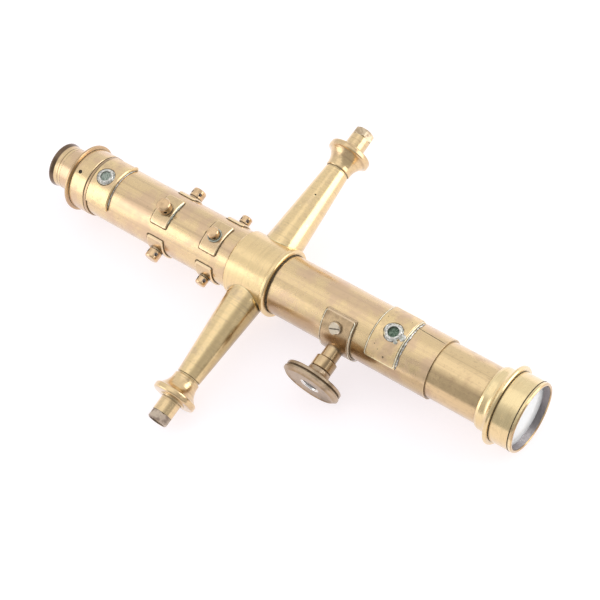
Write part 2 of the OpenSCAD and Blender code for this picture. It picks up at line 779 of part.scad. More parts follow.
module objective_cell() {
    neck = draw_r + 1.6;
    sweep = cell_flange_r - neck - 0.8;
    color(pale_brass) turned(concat(
        [[draw_r + seat_gap, cell_back_x], [neck - 0.8, cell_back_x], [neck - 0.4, cell_back_x + 0.4]],
        [[neck, cell_back_x + 1.6]],
        arc([neck + sweep, flange_back_x - sweep], sweep, 180, 110, 6),
        [[cell_flange_r - 0.4, flange_back_x], [cell_flange_r, flange_back_x + 0.5]],
        [[cell_flange_r, flange_front_x - 0.6], [cell_flange_r - 0.5, flange_front_x]],
        [[cell_r - 0.3, flange_front_x], [cell_r, flange_front_x + 0.4]],
        [[cell_r, cell_front_x - 0.3], [cell_r - 0.3, cell_front_x], [cell_bore_r, cell_front_x]],
        [[cell_bore_r, shoulder_x], [draw_bore_r, shoulder_x], [draw_bore_r, draw_front_x + seat_gap]],
        [[draw_r + seat_gap, draw_front_x + seat_gap]]
    ));
}

module flint_lens() {
    color(clear_glass) lens(flint_x0, flint_x1, glass_r, 0, -crown_bulge - 0.1);
}

module crown_lens() {
    color(clear_glass) lens(crown_x0, crown_x1, glass_r, crown_bulge, crown_bulge);
}

// Threaded ring that keeps the lenses in the cell
module lens_ring() {
    x = crown_x1 + 0.25;
    color(blackened) turned([
        [clear_r, x], [glass_r, x], [glass_r, x + 1.6], [clear_r + 0.3, x + 1.6], [clear_r, x + 1.3]
    ]);
}

module objective_bezel() {
    x0 = cell_front_x + seat_gap;
    x1 = x0 + bezel_w;
    inner = cell_bore_r + 0.15;
    color(pale_brass) turned([
        [inner, x0], [cell_r - 0.3, x0], [cell_r, x0 + 0.3], [cell_r, x1 - 0.6], [cell_r - 0.5, x1],
        [inner + 0.3, x1], [inner, x1 - 0.3]
    ]);
}

// Focusing knob

// Milled disc with two rims, a groove between them and a flared boss behind
module focus_knob() {
    rim_back = knob_back + knob_boss;
    groove = 1.3;
    groove_at = rim_back + knob_w * 0.42;
    flare = knob_boss - 0.5;
    color(dull_brass) translate([pinion_x, 0, 0]) turned_out(NEAR, concat(
        [[shaft_r + seat_gap, knob_back], [gland_r - 0.3, knob_back], [gland_r, knob_back + 0.3]],
        arc([gland_r + flare, rim_back - flare], flare, 180, 105, 6),
        [[knob_r - 1.4, rim_back], [knob_r - 0.6, rim_back + 0.2], [knob_r - 0.3, rim_back + 0.6]],
        [[knob_r - 0.3, groove_at - groove / 2], [knob_r - 1.3, groove_at - 0.1], [knob_r - 1.3, groove_at + 0.1]],
        [[knob_r, groove_at + groove / 2], [knob_r, knob_front - 1.4], [knob_r - 1.9, knob_front - 0.1]],
        [[knob_r - 2.2, knob_front], [knob_r - 2.8, knob_front - 0.35], [knob_recess_r + 0.4, knob_front - 0.5]],
        [[knob_recess_r, knob_front - 0.9], [knob_recess_r, knob_front - recess_depth]],
        [[shaft_r + seat_gap, knob_front - recess_depth]]
    ));
}

// Slotted screw that holds the knob on the end of its shaft
module knob_screw() {
    head_r = knob_recess_r - 1;
    base = knob_front - recess_depth + 0.05;
    color(pale_brass) translate([pinion_x, 0, 0]) rotate([NEAR, 0, 0]) difference() {
        rotate_extrude() polygon([
            [0, base], [head_r, base], [head_r, base + 1.1], [head_r - 0.5, base + 1.5], [0, base + 1.7]
        ]);
        translate([0, 0, base + 1.7]) rotate([0, 0, -12]) cube([2 * head_r + cut, 0.9, 1.6], center = true);
    }
}

main_tube();
central_band();
axis_cone(NEAR);  // axis_cone_near
axis_cone(-NEAR);  // axis_cone_far
pivot_collar(NEAR);  // pivot_collar_near
pivot_collar(-NEAR);  // pivot_collar_far
pivot_nut(NEAR);  // pivot_nut_near
pivot_nut(-NEAR);  // pivot_nut_far
rear_collar();
rear_ring();
collar_screw();
level_saddle_rear();
level_bush(rear_hole_x);  // level_bush_rear
level_saddle_front();
level_bush(front_hole_x);  // level_bush_front
pinion_plate();
plate_screw(-1);  // plate_screw_upper
plate_screw(1);  // plate_screw_lower
pinion_sleeve();
sleeve_gland();
draw_tube();
focus_rack();
slide_stop();
objective_cell();
objective_bezel();
crown_lens();
flint_lens();
lens_ring();
focus_pinion();
focus_knob();
knob_screw();
eyepiece_tube();
eye_cap();
eye_lens();
field_lens();
erector_lens_rear();
erector_lens_front();
eyepiece_stop();
centring_ring();
centring_washer(TOP);  // centring_washer_top
centring_washer(BOTTOM);  // centring_washer_bottom
centring_washer(NEAR);  // centring_washer_near
centring_washer(FAR);  // centring_washer_far
centring_screw(TOP);  // centring_screw_top
centring_screw(BOTTOM);  // centring_screw_bottom
centring_screw(NEAR);  // centring_screw_near
centring_screw(FAR);  // centring_screw_far
reticle_ring();
cross_wires();
reticle_washer(TOP);  // reticle_washer_top
reticle_washer(BOTTOM);  // reticle_washer_bottom
reticle_washer(NEAR);  // reticle_washer_near
reticle_washer(FAR);  // reticle_washer_far
reticle_screw(TOP);  // reticle_screw_top
reticle_screw(BOTTOM);  // reticle_screw_bottom
reticle_screw(NEAR);  // reticle_screw_near
reticle_screw(FAR);  // reticle_screw_far
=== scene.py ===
"""Looks, light and camera for the telescope of a surveyors transit, in metres, in the frame of its solids."""
import math
import random

import bmesh
import bpy
from mathutils import Matrix, Vector, noise


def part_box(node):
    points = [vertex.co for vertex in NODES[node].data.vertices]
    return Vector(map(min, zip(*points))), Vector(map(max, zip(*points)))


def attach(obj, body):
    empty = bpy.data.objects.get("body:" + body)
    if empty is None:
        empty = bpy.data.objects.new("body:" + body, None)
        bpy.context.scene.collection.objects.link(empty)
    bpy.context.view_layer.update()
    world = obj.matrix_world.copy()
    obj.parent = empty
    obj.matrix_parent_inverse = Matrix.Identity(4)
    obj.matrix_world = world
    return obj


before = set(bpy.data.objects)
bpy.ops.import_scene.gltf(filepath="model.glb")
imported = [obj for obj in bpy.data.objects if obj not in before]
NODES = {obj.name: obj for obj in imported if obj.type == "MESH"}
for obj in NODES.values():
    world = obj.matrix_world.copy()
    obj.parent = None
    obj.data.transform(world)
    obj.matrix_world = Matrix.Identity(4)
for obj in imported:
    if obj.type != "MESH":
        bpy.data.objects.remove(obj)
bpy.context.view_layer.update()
MM = 0.001
PER_MM = 1000.0


# Sizes taken from the solids, in metres

TUBE_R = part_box("main_tube")[1].z
BAND_REAR, BAND_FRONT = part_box("central_band")[0].x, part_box("central_band")[1].x
BEAD_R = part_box("central_band")[1].z
BAND_R = BEAD_R - 1.1 * MM
SADDLE_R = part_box("level_saddle_front")[1].z
SADDLE_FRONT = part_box("level_saddle_front")[1].x
REAR_SADDLE_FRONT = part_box("level_saddle_rear")[1].x
WASHER_R = TUBE_R + 0.92 * MM
PLATE_R = TUBE_R + 1.6 * MM


# Camera, at the angle of the photograph

CAMERA_PLACE = (0.357246, -0.195342, 0.685507)
CAMERA_LOOK = (-0.42258, 0.24434, -0.87277)
CAMERA_UP = (-0.43505, 0.79009, 0.43184)
CAMERA_LENS = 94.43
SENSOR_WIDTH = 36.0
CLIP_NEAR, CLIP_FAR = 0.01, 20.0


def make_camera():
    look = Vector(CAMERA_LOOK).normalized()
    right = look.cross(Vector(CAMERA_UP)).normalized()
    up = right.cross(look)
    data = bpy.data.cameras.new("camera")
    data.lens = CAMERA_LENS
    data.sensor_width = SENSOR_WIDTH
    data.clip_start, data.clip_end = CLIP_NEAR, CLIP_FAR
    camera = bpy.data.objects.new("camera", data)
    bpy.context.scene.collection.objects.link(camera)
    turn = Matrix((right, up, -look)).transposed().to_4x4()
    camera.matrix_world = Matrix.Translation(CAMERA_PLACE) @ turn
    bpy.context.scene.camera = camera


# Nodes of materials and of the world

AO_SAMPLES = 8
BEVEL_SAMPLES = 4


class Nodes:
    """The nodes of a material or world, added one at a time."""

    def __init__(self, owner):
        owner.use_nodes = True
        self.owner = owner
        self.tree = owner.node_tree
        self.tree.nodes.clear()

    def put(self, socket, value):
        """Links an output to a socket, or sets the socket to a plain value."""
        if isinstance(value, bpy.types.NodeSocket):
            self.tree.links.new(value, socket)
        elif value is not None:
            if socket.type == "RGBA" and len(value) == 3:
                value = (*value, 1.0)
            socket.default_value = value

    def node(self, kind, inputs=(), out=0, **settings):
        made = self.tree.nodes.new(kind)
        for key, value in settings.items():
            setattr(made, key, value)
        for key, value in dict(inputs).items():
            self.put(made.inputs[key], value)
        return made.outputs[out]

    def math(self, operation, a, b=0.0, clamp=False):
        return self.node("ShaderNodeMath", {0: a, 1: b}, operation=operation, use_clamp=clamp)

    def remap(self, value, low, high, to_low=0.0, to_high=1.0, smooth=True):
        kind = "SMOOTHSTEP" if smooth else "LINEAR"
        return self.node("ShaderNodeMapRange", {"Value": value, "From Min": low, "From Max": high,
                                                "To Min": to_low, "To Max": to_high}, interpolation_type=kind)

    def mix(self, share, a, b, blend="MIX"):
        return self.node("ShaderNodeMix", {0: share, 6: a, 7: b}, out=2, data_type="RGBA", blend_type=blend)

    def place(self, seed=0.0, stretch=(1.0, 1.0, 1.0)):
        """Position on the piece in millimetres, moved by a seed and stretched along the axes."""
        point = self.node("ShaderNodeTexCoord", out="Object")
        scale = [PER_MM * s for s in stretch]
        return self.node("ShaderNodeMapping", {"Vector": point, "Location": (seed, seed * 1.7, seed * 0.6),
                                               "Scale": scale})

    def noise(self, vector, scale, detail=4.0, rough=0.55):
        return self.node("ShaderNodeTexNoise", {"Vector": vector, "Scale": scale, "Detail": detail,
                                                "Roughness": rough})

    def along(self, way, low, high, ragged=None):
        """A share that grows between two distances along a direction from the origin, in millimetres."""
        point = self.node("ShaderNodeTexCoord", out="Object")
        distance = self.node("ShaderNodeVectorMath", {0: point, 1: [PER_MM * c for c in way]}, out="Value",
                             operation="DOT_PRODUCT")
        if ragged is not None:
            distance = self.math("ADD", distance, ragged)
        return self.remap(distance, low, high)

    def spots(self, vector, scale, size, soft):
        """Small round spots, one in each cell, as a mask."""
        near = self.node("ShaderNodeTexVoronoi", {"Vector": vector, "Scale": scale}, out="Distance")
        return self.remap(near, size + soft, size)

    def crevice(self, distance_mm, low=0.35, high=0.9):
        """One where other surfaces stand close round a point, and nought in the open."""
        open_share = self.node("ShaderNodeAmbientOcclusion", {"Distance": distance_mm * MM}, out="AO",
                               samples=AO_SAMPLES)
        return self.remap(open_share, low, high, 1.0, 0.0)

    def edge(self, distance_mm):
        """One along the edges that stand out."""
        inner = self.node("ShaderNodeAmbientOcclusion", {"Distance": distance_mm * MM}, out="AO",
                          samples=AO_SAMPLES, inside=True)
        return self.remap(inner, 0.55, 0.9, 1.0, 0.0)

    def relief(self, height, strength, depth_mm, edge_mm=None):
        """A fine relief, over edges that look rounded where a radius is given."""
        inputs = {"Strength": strength, "Distance": depth_mm * MM, "Height": height}
        if edge_mm is not None:
            inputs["Normal"] = self.node("ShaderNodeBevel", {"Radius": edge_mm * MM}, samples=BEVEL_SAMPLES)
        return self.node("ShaderNodeBump", inputs)

    def rays(self, *kinds):
        """One for rays of the named kinds, and nought for the others."""
        path = self.tree.nodes.new("ShaderNodeLightPath")
        share = path.outputs[kinds[0]]
        for kind in kinds[1:]:
            share = self.math("MAXIMUM", share, path.outputs[kind])
        return share

    def end(self, kind, surface):
        """Joins the surface to an output node and gives the finished material or world."""
        self.put(self.tree.nodes.new(kind).inputs["Surface"], surface)
        return self.owner

    def finish(self, inputs):
        """Ends a material with a Principled shader."""
        return self.end("ShaderNodeOutputMaterial", self.node("ShaderNodeBsdfPrincipled", inputs))


def new_material(name):
    return Nodes(bpy.data.materials.new(name))


# Colours

GOLD = (0.81, 0.60, 0.325)
YELLOW_GOLD = (0.88, 0.66, 0.345)
PALE_GOLD = (0.92, 0.73, 0.40)
SCREW_GOLD = (0.80, 0.55, 0.31)
WASHER_GOLD = (0.74, 0.545, 0.30)
PLATE_GOLD = (0.62, 0.44, 0.25)
SLEEVE_GOLD = (0.74, 0.54, 0.29)
GREY_GOLD = (0.53, 0.405, 0.275)
PALE_BRASS = (0.72, 0.62, 0.48)
# Near white brass, a painted highlight for the wall of the knob's hollow
HIGHLIGHT_BRASS = (0.97, 0.93, 0.86)
# Pale rubbed brass, painted paler still as the highlight on rounded rims
RUBBED_HIGHLIGHT_BRASS = (0.98, 0.86, 0.62)
PINK_TARNISH = (0.73, 0.515, 0.32)
OLIVE_TARNISH = (0.70, 0.525, 0.315)
BROWN_TARNISH = (0.61, 0.415, 0.235)
DEEP_BROWN = (0.40, 0.27, 0.15)
GREY_TARNISH = (0.37, 0.275, 0.18)
FAWN_TARNISH = (0.52, 0.42, 0.30)
# Its pale tarnish, part of the same painted highlight
HIGHLIGHT_TARNISH = (0.86, 0.80, 0.70)
# Its tarnish, part of the same painted highlight
RUBBED_HIGHLIGHT_TARNISH = (0.84, 0.68, 0.44)
NUT_STEEL, NUT_STAIN = (0.55, 0.455, 0.36), (0.32, 0.25, 0.20)
FAR_NUT_STEEL, FAR_NUT_STAIN = (0.74, 0.60, 0.42), (0.52, 0.40, 0.27)
PINION_STEEL, PINION_STAIN = (0.42, 0.40, 0.37), (0.30, 0.26, 0.21)
DARK_STEEL, DARK_STAIN = (0.26, 0.23, 0.20), (0.12, 0.10, 0.08)
SOLDER_LIGHT, SOLDER_DARK = (0.84, 0.83, 0.79), (0.44, 0.43, 0.39)
BLACKENED, BLACKENED_WORN = (0.022, 0.020, 0.018), (0.30, 0.24, 0.16)
GREY_WALL, GREY_WALL_WORN = (0.19, 0.17, 0.18), (0.42, 0.395, 0.40)
GREEN_SALT, GREEN_SALT_DARK = (0.26, 0.36, 0.27), (0.05, 0.09, 0.06)
PALE_SALT, PALE_SALT_DARK = (0.62, 0.66, 0.58), (0.30, 0.33, 0.27)
GREY_SALT, GREY_SALT_DARK = (0.50, 0.57, 0.50), (0.20, 0.25, 0.21)
VERDIGRIS = (0.36, 0.46, 0.36)
# Dark brown of pits and dirt, also painted as shade in corners and along joints
GRIME_AND_SHADE, GRIME_AND_SHADE_LIGHT = (0.085, 0.060, 0.035), (0.16, 0.12, 0.075)
# Dirt and painted shade round the feet of the curved pieces
FOOT_DIRT_AND_SHADE, FOOT_DIRT_AND_SHADE_LIGHT = (0.17, 0.12, 0.07), (0.30, 0.22, 0.13)
# Near white of the objective, painted as the reflection of the white surroundings; specks are grey
REFLECTION_WHITE, REFLECTION_WHITE_BRIGHT, MILK_SPECK = (0.985, 0.99, 0.99), (1.0, 1.0, 1.0), (0.75, 0.74, 0.72)
CLEAR_GLASS = (0.96, 0.97, 0.96)

# Stretch of the tool lines along the axes: turned round X or round Y, drawn along X, or without lines
LATHE_X = (4.0, 0.10, 0.10)
LATHE_Y = (0.10, 4.0, 0.10)
DRAWN_X = (0.03, 2.4, 2.4)
NO_GRAIN = (1.0, 1.0, 1.0)

# Scales of the patterns on brass, for each millimetre
CLOUD_SCALE = 0.075
FRECKLE_SCALE = 0.55
RAGGED_SCALE = 0.10
PIT_SCALE, PIT_GROUP_SCALE = 0.30, 0.16
DIRT_SCALE = 0.8
SALT_SCALE = 0.45
SATIN_SCALE = 0.20
RELIEF_SCALE = 1.3

# Width in millimetres above which the border of a darker zone is ragged
WIDE_BORDER = 1.0

GLASS_IOR = 1.52
LACQUER_IOR = 1.5
LACQUER_ROUGHNESS = 0.22


# Materials

def brass(name, gold, tarnish, share=0.5, grain=NO_GRAIN, rough=0.24, wear_and_highlight=0.6, dirt_and_shade=0.9, green=0.1, pits=0.3,
          seed=0.0, crevice_mm=1.6, edge_mm=0.45, streak=0.5, zones=(), coat=0.85):
    """Aged brass under thin lacquer: tarnish in clouds and streaks, fine tool lines, dirt and painted shade
    in corners, rubbed edges lightened further as painted highlights, and zones that are darker, some of them
    painted shade, each given as a tint and the distances that it lies between."""
    s = new_material(name)
    here = s.place(seed)

    # Tarnish in clouds, freckles and coarse streaks
    clouds = s.remap(s.noise(here, CLOUD_SCALE, 5.0, 0.6), 0.62 - 0.3 * share, 0.82 - 0.3 * share)
    freckles = s.remap(s.noise(here, FRECKLE_SCALE, 5.0, 0.65), 0.52, 0.72)
    lines = s.noise(s.place(seed + 3.0, grain), 1.0, 3.0, 0.6)
    coarse = s.noise(s.place(seed + 6.0, [0.2 * g for g in grain]), 1.0, 4.0, 0.6)
    streaks = s.math("MULTIPLY", s.remap(coarse, 0.48, 0.74), streak)
    colour = s.mix(clouds, gold, tarnish)
    colour = s.mix(s.math("MULTIPLY", freckles, 0.45), colour, [0.84 * c for c in tarnish])
    colour = s.mix(streaks, colour, [0.74 * c for c in tarnish])

    # Darker zones, with ragged borders where these are wide
    ragged = s.remap(s.noise(s.place(seed + 9.0), RAGGED_SCALE, 4.0), 0.2, 0.8, -1.0, 1.0)
    for tint, bounds in zones:
        zone = 1.0
        for way, low, high in bounds:
            border = ragged if abs(high - low) > WIDE_BORDER else None
            zone = s.math("MULTIPLY", s.along(way, low, high, border), zone)
        colour = s.mix(zone, colour, s.mix(1.0, colour, tint, "MULTIPLY"))

    # Tool lines, and rubbed edges lightened towards pale gold: worn brass with a painted highlight
    shade = s.remap(lines, 0.25, 0.75, 0.93, 1.05, smooth=False)
    colour = s.mix(1.0, colour, s.node("ShaderNodeCombineColor", {0: shade, 1: shade, 2: shade}), "MULTIPLY")
    rubbed = s.math("MULTIPLY", s.edge(edge_mm), wear_and_highlight)
    colour = s.mix(rubbed, colour, [min(1.0, 1.15 * c + 0.13) for c in gold])

    # Pits, dirt and painted shade in corners, and green salts in the deepest ones
    pit = s.math("MULTIPLY", s.spots(here, PIT_SCALE, 0.05, 0.05),
                 s.remap(s.noise(here, PIT_GROUP_SCALE, 2.0), 0.50, 0.60))
    pit = s.math("MULTIPLY", pit, pits)
    packed = s.remap(s.noise(here, DIRT_SCALE, 4.0), 0.25, 0.62, 0.45, 1.0)
    corner = s.math("MULTIPLY", s.math("MULTIPLY", s.crevice(crevice_mm), packed), dirt_and_shade)
    colour = s.mix(s.math("MAXIMUM", corner, pit), colour, GRIME_AND_SHADE)
    crust = s.math("MULTIPLY", s.crevice(0.8, 0.2, 0.75), s.remap(s.noise(here, SALT_SCALE, 3.0), 0.50, 0.62))
    crust = s.math("MULTIPLY", crust, green)
    colour = s.mix(crust, colour, VERDIGRIS)

    # Gloss and relief
    dull = s.math("MAXIMUM", s.math("MAXIMUM", corner, pit), crust)
    satin = s.remap(s.noise(here, SATIN_SCALE, 4.0), 0.3, 0.7, rough - 0.04, rough + 0.06, smooth=False)
    satin = s.math("ADD", satin, s.math("MULTIPLY", clouds, 0.07))
    satin = s.math("ADD", satin, s.math("MULTIPLY", dull, 0.35), clamp=True)
    covered = s.math("MAXIMUM", crust, s.math("MULTIPLY", corner, 0.6))
    metal = s.remap(covered, 0.0, 1.0, 1.0, 0.15, smooth=False)
    grains = s.math("MULTIPLY", s.noise(here, RELIEF_SCALE, 4.0), 0.5)
    height = s.math("ADD", s.math("MULTIPLY", lines, 0.5), grains)
    height = s.math("SUBTRACT", height, s.math("MULTIPLY", pit, 2.0))
    return s.finish({"Base Color": colour, "Metallic": metal, "Roughness": satin,
                     "Normal": s.relief(height, 0.35, 0.02, edge_mm=0.12), "Coat Weight": coat,
                     "Coat Roughness": LACQUER_ROUGHNESS, "Coat IOR": LACQUER_IOR})


def steel(name, light, dark, seed):
    """Stained steel with brown patches and bright corners."""
    s = new_material(name)
    here = s.place(seed)
    stain = s.remap(s.noise(here, 0.35, 5.0, 0.6), 0.40, 0.62)
    colour = s.mix(stain, light, dark)
    colour = s.mix(s.math("MULTIPLY", s.edge(0.35), 0.55), colour, [min(1.0, 1.6 * c) for c in light])
    # Dirt and painted shade in the hollows
    colour = s.mix(s.math("MULTIPLY", s.crevice(1.2), 0.85), colour, GRIME_AND_SHADE)
    satin = s.remap(stain, 0.0, 1.0, 0.32, 0.52)
    return s.finish({"Base Color": colour, "Metallic": 1.0, "Roughness": satin,
                     "Normal": s.relief(s.noise(here, 1.6), 0.3, 0.02, edge_mm=0.12)})


def tin(name):
    """Old solder: dull grey lumps with bright rubbed places and a little green."""
    s = new_material(name)
    here = s.place()
    blotch = s.remap(s.noise(here, 0.9, 5.0, 0.6), 0.38, 0.62)
    colour = s.mix(blotch, SOLDER_LIGHT, SOLDER_DARK)
    colour = s.mix(s.remap(s.noise(here, 0.5, 3.0), 0.58, 0.68, 0.0, 0.5), colour, VERDIGRIS)
    # Dirt and painted shade in the hollows
    colour = s.mix(s.math("MULTIPLY", s.crevice(0.8), 0.7), colour, GRIME_AND_SHADE)
    satin = s.remap(blotch, 0.0, 1.0, 0.30, 0.55)
    return s.finish({"Base Color": colour, "Metallic": 0.75, "Roughness": satin,
                     "Normal": s.relief(s.noise(here, 1.8, 5.0), 0.5, 0.06)})


def green_crust(name, light, dark):
    """Powdery copper salts."""
    s = new_material(name)
    here = s.place(2.0)
    colour = s.mix(s.remap(s.noise(here, 1.4, 5.0, 0.65), 0.38, 0.64), dark, light)
    return s.finish({"Base Color": colour, "Metallic": 0.0, "Roughness": 0.85,
                     "Normal": s.relief(s.noise(here, 2.4, 5.0), 0.7, 0.1)})


def blackening(name, black, shown, seed, worn, rough=0.42):
    """Chemical blackening that has worn through along its edges and in patches."""
    s = new_material(name)
    here = s.place(seed)
    patch = s.remap(s.noise(here, 0.35, 5.0, 0.65), 0.62 - 0.25 * worn, 0.80 - 0.25 * worn)
    rubbed = s.math("MAXIMUM", s.math("MULTIPLY", s.edge(0.35), 0.8), patch)
    colour = s.mix(rubbed, black, shown)
    satin = s.remap(s.noise(here, 0.8), 0.3, 0.7, rough - 0.06, rough + 0.10)
    metal = s.remap(rubbed, 0.0, 1.0, 0.55, 1.0)
    return s.finish({"Base Color": colour, "Metallic": metal, "Roughness": satin,
                     "Normal": s.relief(s.noise(here, 1.6), 0.3, 0.02, edge_mm=0.1)})


def dark_line(name, dark, light):
    """Dirt packed in a joint, also laid as painted shade along edges and round the feet of pieces."""
    s = new_material(name)
    here = s.place(5.0)
    colour = s.mix(s.remap(s.noise(here, 1.2, 4.0), 0.35, 0.65), dark, light)
    return s.finish({"Base Color": colour, "Metallic": 0.0, "Roughness": 0.8, "Specular IOR Level": 0.2})


def white_reflection_glass(name):
    """The objective, painted milky white as a stand-in for the white surroundings that it reflects and shows
    through, under a polished face.
    """
    s = new_material(name)
    here = s.place(1.0)
    # Painted reflection: near white, with a faint cloudy change
    bloom = s.remap(s.noise(here, 0.09, 5.0), 0.25, 0.75)
    colour = s.mix(bloom, REFLECTION_WHITE, REFLECTION_WHITE_BRIGHT)
    colour = s.mix(s.math("MULTIPLY", s.spots(here, 0.35, 0.03, 0.04), 0.25), colour, MILK_SPECK)
    satin = s.remap(bloom, 0.0, 1.0, 0.05, 0.12)
    return s.finish({"Base Color": colour, "Roughness": satin, "IOR": GLASS_IOR, "Sheen Weight": 1.0,
                     "Sheen Roughness": 0.45, "Coat Weight": 0.4, "Coat Roughness": 0.12, "Coat IOR": 1.5})


def old_glass(name, haze):
    """Glass with a thin milky bloom and a few specks."""
    s = new_material(name)
    here = s.place(1.0)
    bloom = s.remap(s.noise(here, 0.12, 5.0), 0.2, 0.8, haze - 0.08, haze + 0.06)
    speck = s.spots(here, 0.35, 0.03, 0.04)
    clear = s.math("SUBTRACT", 1.0, s.math("MAXIMUM", bloom, s.math("MULTIPLY", speck, 0.8)), clamp=True)
    satin = s.remap(bloom, haze - 0.1, haze + 0.1, 0.02, 0.10)
    return s.finish({"Base Color": CLEAR_GLASS, "Roughness": satin, "IOR": GLASS_IOR,
                     "Transmission Weight": clear, "Coat Weight": 1.0, "Coat Roughness": 0.02})


# Darker zones: a tint, and directions with the distances in millimetres between which it grows

LOW_NEAR = (0.0, -0.866, -0.5)
NEAR_HIGH = (0.0, -0.848, 0.530)
NEAR_SIDE = (0.0, -0.985, -0.174)
FORWARD = (1.0, 0.0, 0.0)
BACK = (-1.0, 0.0, 0.0)
CONE_SIDE = (1.0, -0.0527, 0.0)
NEARWARD = (0.0, -1.0, 0.0)
CONE_UNDER = (0.766, -0.0527, -0.643)
UNDER = (0.0, -0.30, -0.954)

COLLAR_X0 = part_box("rear_collar")[0].x / MM
BEZEL_X1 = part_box("objective_bezel")[1].x / MM
SLEEVE_X = sum(p.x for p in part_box("pinion_sleeve")) / 2 / MM
KNOB_FRONT = -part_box("focus_knob")[0].y / MM
CAP_BLACK_BACK = 134.9
CAP_LINE_FRONT, CAP_LINE_BACK = 132.2, 133.0

# Painted shade on the front part of the main tube: darker on its lower near side and on its underside
TUBE_SHADE_ZONES = [((0.68, 0.65, 0.60), [(LOW_NEAR, 5.6, 8.2), (FORWARD, 12.0, 15.0)]),
              ((0.74, 0.69, 0.64), [(UNDER, 3.0, 8.0), (FORWARD, 12.0, 15.0)])]
# Painted shade on the draw tube: a little darker high on its near side, and darker on its underside
DRAW_SHADE_ZONES = [((0.88, 0.86, 0.85), [(NEAR_HIGH, 10.2, 11.8)]),
              ((0.78, 0.75, 0.76), [(UNDER, 2.0, 6.0)])]
# Painted shade on the lower near part of the pinion plate
PLATE_SHADE_ZONES = [((0.62, 0.57, 0.52), [(LOW_NEAR, 10.5, 15.0)])]
# Painted shade on the near side of the objective cell
CELL_SHADE_ZONES = [((0.90, 0.86, 0.83), [(NEAR_SIDE, 10.3, 13.2)])]
# Painted shade on the arms' cones: darker on their forward side, fading out along the near arm, and under the
# near cone
CONE_SHADE_ZONES = [((0.60, 0.58, 0.50), [(CONE_SIDE, 8.2, 9.6), (NEARWARD, 78.0, 42.0)]),
              ((0.74, 0.71, 0.67), [(CONE_UNDER, 7.0, 9.4), (NEARWARD, 4.0, 10.0)])]
KNOB_ZONES = [((0.84, 0.78, 0.70), [(NEARWARD, KNOB_FRONT - 1.0, KNOB_FRONT - 0.3)])]
CAP_ZONES = [((0.19, 0.155, 0.15), [(BACK, CAP_BLACK_BACK, CAP_BLACK_BACK + 0.5)]),
             ((0.40, 0.36, 0.32), [(BACK, CAP_LINE_FRONT, CAP_LINE_FRONT + 0.3),
                                   (FORWARD, -CAP_LINE_BACK, 0.3 - CAP_LINE_BACK)])]
COLLAR_ZONES = [((0.76, 0.70, 0.66), [(BACK, -COLLAR_X0 - 2.4, -COLLAR_X0 - 1.8)])]
BEZEL_ZONES = [((0.74, 0.64, 0.54), [(FORWARD, BEZEL_X1 - 0.6, BEZEL_X1 - 0.35)])]
# Painted shade on the pinion sleeve and its gland: darker on the forward side, and a little darker on the
# rear side
SLEEVE_SHADE_ZONES = [((0.50, 0.46, 0.42), [(FORWARD, SLEEVE_X + 0.6, SLEEVE_X + 2.6)]),
                ((0.72, 0.68, 0.62), [(BACK, 2.6 - SLEEVE_X, 4.2 - SLEEVE_X)])]


# Looks, and the nodes of the solids that wear them

